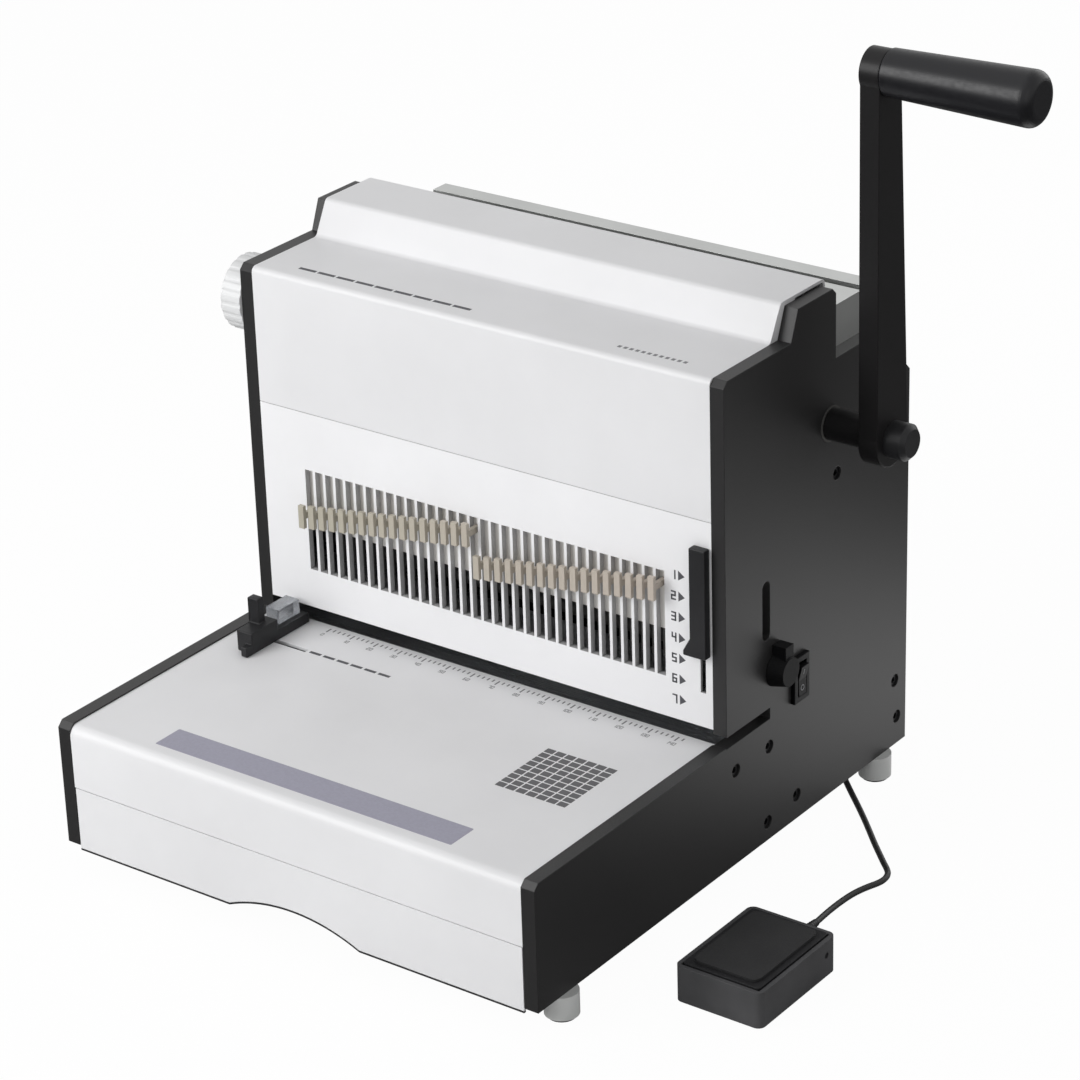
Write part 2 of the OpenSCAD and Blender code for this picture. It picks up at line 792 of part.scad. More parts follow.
module punch_panel() {
    backing_x = pin_x(pin_count - 1) + slot_w / 2 + backing_rim;
    color([0.88, 0.88, 0.9]) difference() {
        union() {
            block(-inner_x, inner_x, tower_setback, panel_back, panel_low_h, seam_h);
            block(-backing_x, backing_x, panel_back, panel_back + backing_t,
                slot_low_h - backing_rim, slot_high_h + backing_rim);
        }
        for (i = [0 : pin_count - 1])
            block(pin_x(i) - slot_w / 2, pin_x(i) + slot_w / 2, tower_setback - 1, panel_back + backing_t + 1,
                slot_low_h, slot_high_h);
        block(slider_x - slider_slot_w / 2, slider_x + slider_slot_w / 2,
            tower_setback - 1, panel_back + 1, slider_slot_low_h, slider_slot_high_h);
    }
}

module upper_cover() {
    lip = 26;
    path = [
        [tower_setback, seam_h + 0.3], [tower_setback, ledge_h], [ledge_end, ledge_h],
        [top_start, top_h], [cover_end, top_h], [cover_end, top_h - lip]
    ];
    radii = [0, small_fold_r, small_fold_r, small_fold_r, small_fold_r, 0];
    flange_run = tab_lag + 8;
    flange = [
        [ledge_end, ledge_h - sheet_t], [top_start, top_h - sheet_t],
        [top_start + flange_run, top_h - sheet_t], [ledge_end + flange_run, ledge_h - sheet_t]
    ];
    color([0.86, 0.86, 0.87]) {
        side_slab(-inner_x, inner_x) sheet_outline(path, radii, sheet_t);
        both_sides() side_slab(inner_x - sheet_t, inner_x) polygon(flange);
    }
}

module rear_cover() {
    back = base_depth - 2;
    flange = 20;
    high = jaw_low_h - 8;
    color([0.15, 0.15, 0.16]) difference() {
        union() {
            block(-inner_x, inner_x, back - sheet_t, back, pan_top_h, high);
            block(-inner_x, inner_x, back - flange, back - sheet_t, high - sheet_t, high);
            for (x = [-inner_x, inner_x - sheet_t])
                block(x, x + sheet_t, back - flange, back - sheet_t, pan_top_h, high - sheet_t);
        }
        both_sides() for (s = rear_screws)
            bar_x(inner_x - sheet_t - 1, inner_x + 1, s[0], s[1], screw_d + 2 * fit_gap);
        block(inlet_x - inlet_w / 2, inlet_x + inlet_w / 2, back - sheet_t - 1, back + 1,
            inlet_h - inlet_tall / 2, inlet_h + inlet_tall / 2);
        both_sides() for (i = [0 : vent_count - 1]) vent(vent_low_h + i * vent_pitch, back);
    }
}

// A slot with round ends through the rear cover
module vent(z, back) {
    block(vent_x - vent_w / 2, vent_x + vent_w / 2, back - sheet_t - 1, back + 1,
        z - vent_tall / 2, z + vent_tall / 2);
    for (x = [vent_x - vent_w / 2, vent_x + vent_w / 2])
        bar_y(x, back - sheet_t - 1, back + 1, z, vent_tall);
}

module tapped_ends(places) {
    both_sides() for (s = places)
        bar_x(outer_x - screw_head_t - screw_len - 1, inner_x + 1, s[0], s[1], screw_d + 2 * fit_gap);
}

module die_block() {
    color([0.6, 0.61, 0.63]) difference() {
        block(-inner_x, inner_x, panel_back, panel_back + die_depth, die_low_h, die_top_h);
        for (i = [0 : pin_count - 1])
            translate([pin_x(i), from_front(pin_line), die_low_h - 1])
                cylinder(h = die_t + 2, d = pin_d + 4 * fit_gap, $fn = 24);
        tapped_ends(die_screws);
    }
}

module pin_guide() {
    color([0.5, 0.51, 0.53]) difference() {
        block(-inner_x, inner_x, guide_front, guide_back, guide_low_h, guide_high_h);
        for (i = [0 : pin_count - 1])
            translate([pin_x(i), from_front(pin_line), guide_low_h - 1])
                cylinder(h = guide_t + 2, d = pin_d + 4 * fit_gap, $fn = 24);
    }
}

module tie_rod() {
    color([0.62, 0.63, 0.65]) difference() {
        bar_x(-inner_x, inner_x, tie_line, tie_h, tie_d);
        tapped_ends(tie_screws);
    }
}

module drawer_runners() {
    color([0.7, 0.71, 0.72]) difference() {
        both_sides()
            block(inner_x - runner_w, inner_x, pan_front, runner_end, pan_top_h, pan_top_h + runner_h);
        tapped_ends(runner_screws);
    }
}

module plate_screws() {
    head_x = outer_x - screw_recess;
    color([0.1, 0.1, 0.1]) both_sides() for (s = plate_screws_at) difference() {
        union() {
            bar_x(outer_x - screw_head_t, head_x, s[0], s[1], screw_head_d);
            bar_x(outer_x - screw_head_t - screw_len + 2, outer_x - screw_head_t, s[0], s[1], screw_d);
        }
        translate([head_x - socket_t, from_front(s[0]), s[1]]) rotate([0, 90, 0])
            cylinder(h = socket_t + 1, d = socket_d, $fn = 6);
    }
}

module feet() {
    color([0.6, 0.61, 0.6]) both_sides() foot_places() difference() {
        union() {
            translate([0, 0, 2]) cylinder(h = ground_gap - 2, d = foot_d);
            translate([0, 0, ground_gap]) cylinder(h = 10, d = 6);
        }
        translate([0, 0, 1]) cylinder(h = 3, d = foot_d - 4);
    }
}

module foot_pads() {
    color([0.12, 0.12, 0.12]) both_sides() foot_places() cylinder(h = 4, d = foot_d - 4 - 2 * fit_gap);
}

// Punch drive

module drive_shelf() {
    front = gearbox_front - 2;
    color([0.55, 0.56, 0.57])
        block(-inner_x, inner_x, front, front + shelf_depth, shelf_top_h - shelf_t, shelf_top_h);
}

module gearbox() {
    color([0.45, 0.46, 0.48]) difference() {
        block(gearbox_x, gearbox_x + gearbox_w, gearbox_front, gearbox_front + gearbox_depth,
            shelf_top_h, shelf_top_h + gearbox_t);
        bar_x(gearbox_x - 1, gearbox_x + pinion_shaft_in + 2, pinion_line, pinion_h,
            pinion_shaft_d + 2 * fit_gap);
    }
}

module motor() {
    start = gearbox_x + gearbox_w;
    color([0.2, 0.2, 0.22]) {
        bar_x(start, start + motor_flange_t, motor_line, motor_h, motor_d + 2);
        bar_x(start + motor_flange_t, start + motor_len - motor_cap_t, motor_line, motor_h, motor_d);
        bar_x(start + motor_len - motor_cap_t, start + motor_len, motor_line, motor_h, motor_d - 8);
    }
}

module crank_bearings() {
    color([0.7, 0.71, 0.73]) both_sides() difference() {
        bar_x(inner_x, inner_x + bearing_t, crank_line, crank_h, bearing_d);
        bar_x(inner_x - 1, inner_x + bearing_t + 1, crank_line, crank_h, crank_d + 2 * fit_gap);
    }
}

module crankshaft() {
    inner_web = yoke_t / 2 + web_gap;
    outer_web = inner_web + web_t;
    color([0.66, 0.67, 0.69]) {
        bar_x(-throw_x + outer_web, throw_x - outer_web, crank_line, crank_h, crank_d);
        both_sides() {
            bar_x(throw_x + outer_web, inner_x + bearing_t - 0.5, crank_line, crank_h, crank_d);
            bar_x(throw_x - inner_web, throw_x + inner_web, crank_line, crank_h + crank_throw, crank_pin_d);
            for (x = [throw_x - outer_web, throw_x + inner_web])
                block(x, x + web_t, crank_line - crank_d / 2 - web_rim, crank_line + crank_d / 2 + web_rim,
                    crank_h - crank_d / 2 - web_rim, crank_h + crank_throw + crank_pin_d / 2 + web_rim);
        }
    }
}

module crank_gear() {
    color([0.58, 0.55, 0.45]) gear_x_at(crank_line, crank_h, gear_tilt, crank_d + 2 * fit_gap);
}

module drive_pinion() {
    half_tooth = 180 / gear_teeth;
    color([0.58, 0.55, 0.45]) {
        gear_x_at(pinion_line, pinion_h, gear_tilt + 180 + half_tooth, pinion_shaft_d - 2);
        bar_x(gear_x, gearbox_x + pinion_shaft_in, pinion_line, pinion_h, pinion_shaft_d);
    }
}

module ram_bar() {
    end_x = inner_x - ram_end_gap;
    stem_half_w = pull_stem_w / 2 + fit_gap;
    stem_half_h = pull_stem_h / 2 + fit_gap;
    color([0.78, 0.79, 0.8]) difference() {
        union() {
            block(-end_x, end_x, ram_front, ram_back, ram_low_h, ram_high_h);
            both_sides() {
                block(end_x - ram_lug_w, end_x, ram_back, ram_back + ram_lug_back, ram_low_h, ram_high_h);
                bar_x(end_x, outer_x - ram_pin_inset, ram_pin_setback, ram_pin_h, ram_pin_d);
            }
        }
        for (i = [0 : pin_count - 1]) {
            translate([pin_x(i), from_front(pin_line), ram_low_h - 1])
                cylinder(h = ram_t - 4, d = pin_d + 2 * fit_gap, $fn = 24);
            pull_h = first_pull_h + pin_step(i);
            block(pin_x(i) - stem_half_w, pin_x(i) + stem_half_w, ram_front - 1, pin_line,
                pull_h - stem_half_h, pull_h + stem_half_h);
        }
    }
}

module ram_yokes() {
    slot_half_h = crank_pin_d / 2 + yoke_slack;
    slot_half_w = crank_throw + crank_pin_d / 2 + yoke_slot_end;
    middle_h = crank_h + crank_throw;
    color([0.7, 0.71, 0.73]) both_sides() difference() {
        union() {
            block(throw_x - yoke_t / 2, throw_x + yoke_t / 2, crank_line - yoke_half, crank_line + yoke_half,
                middle_h - slot_half_h - yoke_rim, middle_h + slot_half_h + yoke_rim);
            block(throw_x - yoke_t / 2, throw_x + yoke_t / 2, crank_line - yoke_stem_w / 2, ram_back,
                ram_high_h, middle_h - slot_half_h - yoke_rim);
        }
        block(throw_x - yoke_t, throw_x + yoke_t, crank_line - slot_half_w, crank_line + slot_half_w,
            middle_h - slot_half_h, middle_h + slot_half_h);
    }
}

module punch_pins() {
    color([0.72, 0.73, 0.75]) for (i = [0 : pin_count - 1])
        translate([pin_x(i), from_front(pin_line), first_tip_h + pin_step(i)])
            cylinder(h = ram_high_h - 6 - first_tip_h - pin_step(i), d = pin_d, $fn = 24);
}

// One pull: a flat stem in the ram and a tab in front of the panel
module pull(i) {
    x = pin_x(i);
    z = first_pull_h + pin_step(i);
    tab_back = pull_tab_front + pull_tab_depth;
    block(x - pull_stem_w / 2, x + pull_stem_w / 2, pull_tab_front + pull_stem_root, pull_end,
        z - pull_stem_h / 2, z + pull_stem_h / 2);
    block(x - pull_tab_w / 2, x + pull_tab_w / 2, pull_tab_front, tab_back,
        z - pull_tab_h / 2, z + pull_tab_h / 2);
}

module pin_pulls() {
    color([0.72, 0.62, 0.44]) for (i = [1 : pin_count - 2]) pull(i);
}

module first_pull() {
    color([0.72, 0.62, 0.44]) pull(0);
}

module last_pull() {
    color([0.72, 0.62, 0.44]) pull(pin_count - 1);
}

// Wire closer

module closer_bushes() {
    color([0.72, 0.6, 0.35]) both_sides() difference() {
        bar_x(inner_x, outer_x + bush_collar_t, shaft_line, shaft_h, bush_d);
        bar_x(inner_x - 1, outer_x + 1, shaft_line, shaft_h, shaft_d + 2 * fit_gap);
    }
}

module closer_anvil() {
    cheek_front = cover_end + cheek_gap;
    color([0.72, 0.73, 0.74]) difference() {
        union() {
            block(-inner_x, inner_x, anvil_setback, anvil_back, anvil_low_h, anvil_high_h);
            both_sides()
                block(inner_x - cheek_t, inner_x, cheek_front, anvil_setback, anvil_low_h, anvil_high_h);
        }
        for (x = [-rod_x_place, rod_x_place])
            bar_y(x, anvil_setback - 1, anvil_back + 1, rod_h, rod_d + 2 * fit_gap);
    }
}

module closer_shaft() {
    color([0.66, 0.67, 0.69]) {
        bar_x(-outer_x, arm_outer_x + shaft_end, shaft_line, shaft_h, shaft_d);
        both_sides() bar_x(arm_x, arm_x + arm_t, cam_line, cam_h, closer_cam_d);
    }
}

module jaw_arm_outline() {
    neck_low_h = arm_low_h + 2;
    difference() {
        union() {
            translate([cam_line - cam_slot_half - arm_rim, arm_low_h])
                square([2 * (cam_slot_half + arm_rim), arm_high_h - arm_low_h]);
            translate([arm_back, neck_low_h])
                square([jaw_front - arm_back, arm_neck_high_h - neck_low_h]);
        }
        translate([cam_line - cam_slot_half, arm_slot_low_h])
            square([2 * cam_slot_half, arm_slot_high_h - arm_slot_low_h]);
    }
}

module jaw_arms() {
    color([0.6, 0.61, 0.63]) both_sides() side_slab(arm_x, arm_x + arm_t) jaw_arm_outline();
}

module closer_jaw() {
    color([0.74, 0.75, 0.76]) difference() {
        block(-jaw_half_w, jaw_half_w, jaw_front, jaw_back, jaw_low_h, jaw_high_h);
        for (x = [-rod_x_place, rod_x_place])
            bar_y(x, jaw_front - 1, jaw_back + 1, rod_h, rod_d + 2 * fit_gap);
    }
}

module jaw_rods() {
    color([0.75, 0.76, 0.78]) for (x = [-rod_x_place, rod_x_place])
        bar_y(x, rod_tip, jaw_back, rod_h, rod_d);
}

// Lever

module lever_arm() {
    hub = lever_low_w / 2;
    low = hub - 0.4;
    high = lever_high_w / 2;
    color([0.09, 0.09, 0.1]) difference() {
        union() {
            bar_x(arm_inner_x, arm_outer_x, shaft_line, shaft_h, lever_low_w);
            side_slab(arm_inner_x, arm_outer_x) polygon([
                [shaft_line - low, shaft_h], [grip_line - high, grip_h],
                [grip_line + high, grip_h], [shaft_line + low, shaft_h]
            ]);
            bar_x(arm_inner_x, arm_outer_x, grip_line, grip_h, arm_end_d);
            bar_x(arm_inner_x, arm_outer_x + grip_stud_len, grip_line, grip_h, grip_stud_d);
        }
        bar_x(arm_inner_x - 1, arm_outer_x + 1, shaft_line, shaft_h, shaft_d + 2 * fit_gap);
    }
}

module lever_collar() {
    color([0.09, 0.09, 0.1]) difference() {
        bar_x(outer_x + bush_collar_t + free_gap, arm_inner_x, shaft_line, shaft_h, collar_d);
        bar_x(outer_x, arm_inner_x + 1, shaft_line, shaft_h, shaft_d + 2 * fit_gap);
    }
}

module hub_cap() {
    rim = 3;
    r = hub_cap_d / 2;
    color([0.14, 0.14, 0.15]) difference() {
        translate([arm_outer_x, from_front(shaft_line), shaft_h]) rotate([0, 90, 0]) rotate_extrude()
            polygon([[0, 0], [r, 0], [r, hub_cap_t - rim], [r - rim, hub_cap_t], [0, hub_cap_t]]);
        bar_x(arm_outer_x - 1, arm_outer_x + shaft_end + fit_gap, shaft_line, shaft_h, shaft_d + 2 * fit_gap);
    }
}

module grip_outline() {
    neck = grip_neck_d / 2;
    r = grip_d / 2;
    steps = 8;
    polygon(concat(
        [[0, 0], [neck - grip_edge, 0], [neck, grip_edge]],
        [for (k = [0 : steps]) let (a = 90 * k / steps)
            [r - grip_round + grip_round * cos(a), grip_len - grip_round + grip_round * sin(a)]],
        [[0, grip_len]]
    ));
}

module lever_grip() {
    color([0.06, 0.06, 0.07]) difference() {
        translate([arm_outer_x, from_front(grip_line), grip_h]) rotate([0, 90, 0])
            rotate_extrude() grip_outline();
        bar_x(arm_outer_x - 1, arm_outer_x + grip_stud_len + fit_gap, grip_line, grip_h,
            grip_stud_d + 2 * fit_gap);
    }
}

// Closer gap stop

module gap_shaft() {
    knob_end = outer_x + free_gap + gap_knob_t - knob_skin;
    color([0.66, 0.67, 0.69]) {
        bar_x(-knob_end, inner_x + plate_t / 2 - 0.5, gap_line, gap_h, gap_shaft_d);
        both_sides() bar_x(rod_x_place - gap_cam_w / 2, rod_x_place + gap_cam_w / 2,
            gap_line - gap_cam_offset, gap_h, gap_cam_d);
    }
}

module gap_knob() {
    start = outer_x + free_gap;
    flute_r = gap_knob_d / 2 + flute_d / 2 - flute_depth;
    color([0.85, 0.85, 0.86]) mirror([1, 0, 0]) difference() {
        bar_x(start, start + gap_knob_t, gap_line, gap_h, gap_knob_d);
        bar_x(start - 1, start + gap_knob_t - knob_skin + fit_gap, gap_line, gap_h,
            gap_shaft_d + 2 * fit_gap);
        for (k = [0 : flute_count - 1]) let (a = 360 * k / flute_count)
            bar_x(start - 1, start + gap_knob_t + 1,
                gap_line + flute_r * cos(a), gap_h + flute_r * sin(a), flute_d);
    }
}

// Margin stop

module margin_shaft() {
    knob_end = outer_x + free_gap + margin_knob_t - knob_skin;
    color([0.66, 0.67, 0.69]) {
        bar_x(-outer_x + 1, knob_end, margin_line, margin_h, margin_shaft_d);
        both_sides() bar_x(margin_arm_x - margin_arm_w / 2, margin_arm_x + margin_arm_w / 2,
            margin_line, margin_h + margin_cam_offset, margin_cam_d);
    }
}

module margin_knob() {
    start = outer_x + free_gap;
    color([0.08, 0.08, 0.09]) difference() {
        union() {
            translate([start, from_front(margin_line), margin_h]) rotate([0, 90, 0])
                cylinder(h = margin_knob_t, d1 = margin_knob_d, d2 = margin_knob_d - margin_knob_taper);
            block(start, start + margin_knob_t - pointer_drop,
                margin_line - pointer_w / 2, margin_line + pointer_w / 2,
                margin_h, margin_h + margin_knob_d / 2 + pointer_over);
        }
        bar_x(start - 1, start + margin_knob_t - knob_skin + fit_gap, margin_line, margin_h,
            margin_shaft_d + 2 * fit_gap);
    }
}

module margin_stop() {
    slot_half = margin_cam_d / 2 + margin_cam_slack;
    slot_low = margin_h + margin_cam_offset * cos(45) - margin_cam_d / 2 - margin_cam_slack;
    slot_high = margin_h + margin_cam_offset + margin_cam_d / 2 + margin_cam_slack;
    color([0.6, 0.61, 0.63]) {
        block(-stop_bar_half_w, stop_bar_half_w, stop_front, margin_line - margin_arm_half,
            stop_low_h, stop_low_h + stop_t);
        both_sides() difference() {
            block(margin_arm_x - margin_arm_w / 2 + free_gap, margin_arm_x + margin_arm_w / 2 - free_gap,
                margin_line - margin_arm_half, margin_line + margin_arm_half,
                stop_low_h, slot_high + margin_arm_rim);
            block(margin_arm_x - margin_arm_w, margin_arm_x + margin_arm_w,
                margin_line - slot_half, margin_line + slot_half, slot_low, slot_high);
        }
    }
}

// Front fittings

module size_slider() {
    back = tower_setback - free_gap;
    front = back - slider_depth;
    inside = panel_back + free_gap;
    stem_high_h = slider_stem_low_h + slider_stem_h;
    color([0.1, 0.1, 0.11]) {
        block(slider_left, slider_right, front, back, slider_low_h, slider_low_h + slider_tall);
        translate([slider_left, from_front(back), slider_low_h]) rotate([90, 0, 0])
            linear_extrude(height = slider_depth)
                polygon([[0, 0], [0, slider_toe_top], [-slider_toe, slider_toe_h], [-slider_toe, 0]]);
        block(slider_x - slider_stem_w / 2, slider_x + slider_stem_w / 2, back, inside,
            slider_stem_low_h, stem_high_h);
        block(slider_left, slider_right - 1, inside, inside + keeper_t, slider_stem_low_h, stem_high_h);
    }
}

module edge_guide() {
    right = -fence_x;
    left = right - guide_block_w;
    middle = (left + right) / 2;
    low = cover_top_h + free_gap;
    high = low + guide_block_h;
    under = cover_top_h - sheet_t - free_gap;
    fin_front = guide_block_front + guide_fin_setback;
    fin_back = fin_front + guide_fin_len;
    stem = guide_stem_w / 2;
    nut = guide_nut / 2;
    color([0.1, 0.1, 0.11]) {
        block(left, right, guide_block_front + 4, guide_block_front + guide_block_len, low, high);
        block(right - guide_fence_w, right, guide_block_front - 2, tower_setback - 2,
            low, low + guide_fence_h);
        block(left - 1, left - 1 + guide_fin_w, fin_front, fin_back, high, low + guide_fin_h);
        block(left - 1, left, fin_front, fin_back, low, high);
        block(middle - stem, middle + stem, guide_slot_line - guide_stem_len / 2,
            guide_slot_line + guide_stem_len / 2, under, low);
        block(middle - nut, middle + nut, guide_slot_line - nut, guide_slot_line + nut,
            under - guide_nut_t, under);
    }
}

module guide_window() {
    right = -fence_x - guide_fence_w;
    low = cover_top_h + free_gap;
    color([0.6, 0.61, 0.64, 0.6])
        block(right - 11, right, guide_block_front + guide_block_len + 7, tower_setback - 6, low, low + 17);
}

// Waste drawer

module drawer_front() {
    high = drawer_top_h - drawer_gap / 2;
    half = inner_x - drawer_gap;
    color([0.88, 0.88, 0.89]) difference() {
        block(-half, half, 0, sheet_t, drawer_low_h, high);
        translate([0, from_front(-1), drawer_low_h + recess_h - recess_r]) rotate([-90, 0, 0])
            cylinder(h = sheet_t + 2, r = recess_r, $fn = 200);
    }
}

module drawer_tray() {
    skid_w = 10;
    floor_h = drawer_low_h + recess_h + 2;
    color([0.6, 0.61, 0.62]) {
        difference() {
            block(-tray_half_w, tray_half_w, sheet_t, tray_back, floor_h, tray_high_h);
            block(-tray_half_w + tray_wall, tray_half_w - tray_wall,
                sheet_t + tray_wall, tray_back - tray_wall, floor_h + tray_wall, tray_high_h + 1);
        }
        both_sides()
            block(tray_half_w - skid_w, tray_half_w, pan_front + 4, tray_back, tray_low_h, floor_h);
    }
}

// Electrical fittings

module switch_bezel() {
    low = switch_h - switch_tall / 2;
    high = switch_h + switch_tall / 2;
    front = switch_line - switch_w / 2;
    back = switch_line + switch_w / 2;
    color([0.07, 0.07, 0.08]) difference() {
        union() {
            block(outer_x - switch_back, outer_x, front + fit_gap, back - fit_gap,
                low + fit_gap, high - fit_gap);
            block(outer_x, outer_x + switch_flange_t, front - switch_flange, back + switch_flange,
                low - switch_flange, high + switch_flange);
        }
        block(outer_x - switch_back + switch_wall, outer_x + switch_flange_t + 1,
            front + switch_wall, back - switch_wall, low + switch_wall, high - switch_wall);
        bar_y(rocker_pivot_x, front, back, switch_h, rocker_pin_d + 2 * fit_gap);
    }
}

module switch_rocker() {
    half_w = switch_w / 2 - switch_wall - rocker_gap;
    half_h = switch_tall / 2 - switch_wall - rocker_gap - 0.6;
    face = outer_x + switch_flange_t - rocker_pivot_x;
    pin_half = switch_w / 2 - 0.6;
    color([0.05, 0.05, 0.06]) {
        translate([rocker_pivot_x, from_front(switch_line), switch_h]) rotate([0, rocker_tilt, 0])
            translate([0, half_w, 0]) rotate([90, 0, 0]) linear_extrude(height = 2 * half_w)
                polygon([
                    [face + 1.4, half_h], [face, 0], [face + 1.4, -half_h],
                    [-1, -half_h], [-7, -4], [-7, 4], [-1, half_h]
                ]);
        bar_y(rocker_pivot_x, switch_line - pin_half, switch_line + pin_half, switch_h, rocker_pin_d);
    }
}

module power_inlet() {
    back = base_depth - 2;
    low = inlet_h - inlet_tall / 2;
    high = inlet_h + inlet_tall / 2;
    left = inlet_x - inlet_w / 2;
    right = inlet_x + inlet_w / 2;
    rim = 4;
    color([0.08, 0.08, 0.09]) {
        difference() {
            union() {
                block(left + fit_gap, right - fit_gap, back - inlet_deep, back,
                    low + fit_gap, high - fit_gap);
                block(left - rim, right + rim, back, back + 2, low - rim, high + rim);
            }
            block(left + inlet_wall, right - inlet_wall, back - inlet_deep + inlet_wall, back + 3,
                low + inlet_wall, high - inlet_wall);
        }
    }
    color([0.75, 0.7, 0.5]) for (p = [[-7, -2], [0, 3], [7, -2]])
        block(inlet_x + p[0] - 1, inlet_x + p[0] + 1, back - inlet_deep + inlet_wall, back - 3,
            inlet_h + p[1] - 2, inlet_h + p[1] + 2);
}

module control_box() {
    plug_w = 12;
    plug_t = 4;
    color([0.3, 0.32, 0.3]) {
        block(box_right - box_w, box_right, box_back - box_depth, box_back, pan_top_h, pan_top_h + box_t);
        for (k = [1 : 3]) translate([box_right - box_w + k * box_w / 4, 0, 0])
            block(-plug_w / 2, plug_w / 2, box_back, box_back + plug_t, pan_top_h + 8, pan_top_h + 18);
    }
}

module cord_gland() {
    foot_w = 8;
    color([0.08, 0.08, 0.09]) translate([gland_x, from_front(gland_line), 0]) rotate([0, 0, gland_turn]) {
        difference() {
            union() {
                translate([-gland_len, 0, gland_h]) rotate([0, 90, 0])
                    cylinder(h = gland_len - gland_nose, d = gland_d);
                translate([-gland_nose, 0, gland_h]) rotate([0, 90, 0])
                    cylinder(h = gland_nose, d = gland_d - 3);
            }
            translate([-1.5, 0, gland_h]) rotate([0, 90, 0]) cylinder(h = 3, d = cord_d + 2);
        }
        translate([-gland_len + 3, -foot_w / 2, gland_h + 2]) cube([foot_w, foot_w, pan_low_h - gland_h - 2]);
    }
}

module pedal_cord() {
    color([0.1, 0.1, 0.1]) tube_along([for (p = cord_route) cord_point(p)], cord_d, 10);
}

// Foot pedal

module pedal_case() {
    w = pedal_wall;
    left = pedal_x - pedal_w / 2;
    right = pedal_x + pedal_w / 2;
    floor_h = pedal_low_h + w;
    gland_back = pedal_back + pedal_gland_len;
    color([0.08, 0.08, 0.09]) difference() {
        union() {
            difference() {
                round_block(left, right, pedal_setback, pedal_back, pedal_low_h, pedal_case_h, pedal_round);
                block(left + w, right - w, pedal_setback + w, pedal_back - w, floor_h, pedal_case_h + 1);
            }
            translate([pedal_x, from_front(pedal_spring_line), floor_h]) cylinder(h = 3, d = spring_d - 4);
            bar_y(pedal_x, pedal_back, gland_back, cord_end[2], pedal_gland_d);
        }
        bar_x(left - 1, right + 1, pedal_pin_setback, pedal_pin_h, pedal_pin_d + 2 * fit_gap);
        bar_y(pedal_x, gland_back - 1.5, gland_back + 1, cord_end[2], cord_d + 2);
    }
}

module pedal_pin() {
    color([0.7, 0.71, 0.73])
        translate([pedal_x, 0, 0])
            bar_x(0.5 - pedal_w / 2, pedal_w / 2 - 0.5, pedal_pin_setback, pedal_pin_h, pedal_pin_d);
}

module pedal_pads() {
    r = 5;
    color([0.1, 0.1, 0.1])
        for (x = [-1, 1], d = [pedal_setback + pedal_pad_inset + r, pedal_back - pedal_pad_inset - r])
            translate([pedal_x + x * (pedal_w / 2 - pedal_pad_inset - r), from_front(d), 0])
                cylinder(h = pedal_low_h, r = r);
}

module pedal_switch() {
    low = pedal_low_h + pedal_wall;
    button_h = treadle_high_h - treadle_t - 2.2;
    color([0.25, 0.25, 0.28]) {
        block(pedal_x - 10, pedal_x + 10, pedal_setback + 40, pedal_setback + 52, low, button_h - 2);
        block(pedal_x - 3, pedal_x + 3, pedal_setback + 44, pedal_setback + 48, button_h - 2, button_h);
    }
}

module pedal_treadle() {
    w = pedal_wall + treadle_gap;
    rim = 2.5;
    left = pedal_x - pedal_w / 2 + w;
    right = pedal_x + pedal_w / 2 - w;
    lug_w = pedal_lug_w - 1;
    lug_half = 4;
    lug_x = pedal_w / 2 - w - pedal_lug_w - 1 - lug_w;
    under = treadle_high_h - treadle_t;
    color([0.07, 0.07, 0.08]) difference() {
        union() {
            difference() {
                round_block(left, right, pedal_setback + w, pedal_back - w,
                    under - treadle_skirt, treadle_high_h - mat_t, treadle_round);
                block(left + rim, right - rim, pedal_setback + w + rim, pedal_back - w - rim,
                    under - treadle_skirt - 1, under);
            }
            translate([pedal_x, 0, 0]) both_sides()
                block(lug_x, lug_x + lug_w, pedal_pin_setback - lug_half, pedal_pin_setback + lug_half,
                    pedal_pin_h - lug_half, under);
        }
        bar_x(left - 1, right + 1, pedal_pin_setback, pedal_pin_h, pedal_pin_d + 2 * fit_gap);
    }
}

module treadle_mat() {
    w = pedal_wall + treadle_gap + mat_inset;
    color([0.12, 0.12, 0.12])
        round_block(pedal_x - pedal_w / 2 + w, pedal_x + pedal_w / 2 - w, pedal_setback + w, pedal_back - w,
            treadle_high_h - mat_t, treadle_high_h, mat_round);
}

module pedal_spring() {
    low = pedal_low_h + pedal_wall + spring_wire_d / 2;
    high = treadle_high_h - treadle_t - spring_wire_d / 2 - free_gap;
    rings = 12 * spring_turns;
    r = (spring_d - spring_wire_d) / 2;
    color([0.7, 0.71, 0.73]) translate([pedal_x, from_front(pedal_spring_line), 0]) tube_along([
        for (k = [0 : rings]) let (a = 360 * spring_turns * k / rings)
            [r * cos(a), r * sin(a), low + (high - low) * k / rings]
    ], spring_wire_d, 6);
}

left_plate();
right_plate();
base_pan();
base_cover();
punch_panel();
upper_cover();
rear_cover();
die_block();
pin_guide();
tie_rod();
drive_shelf();
gearbox();
motor();
crank_bearings();
closer_bushes();
closer_anvil();
drawer_runners();
plate_screws();
feet();
foot_pads();
switch_bezel();
power_inlet();
control_box();
cord_gland();
pedal_cord();
pedal_case();
pedal_pin();
pedal_spring();
pedal_switch();
pedal_pads();
crankshaft();
crank_gear();
drive_pinion();
ram_bar();
ram_yokes();
punch_pins();
pin_pulls();
first_pull();
last_pull();
closer_shaft();
lever_arm();
lever_collar();
hub_cap();
lever_grip();
closer_jaw();
jaw_arms();
jaw_rods();
gap_knob();
gap_shaft();
margin_knob();
margin_shaft();
margin_stop();
size_slider();
edge_guide();
guide_window();
drawer_front();
drawer_tray();
switch_rocker();
pedal_treadle();
treadle_mat();
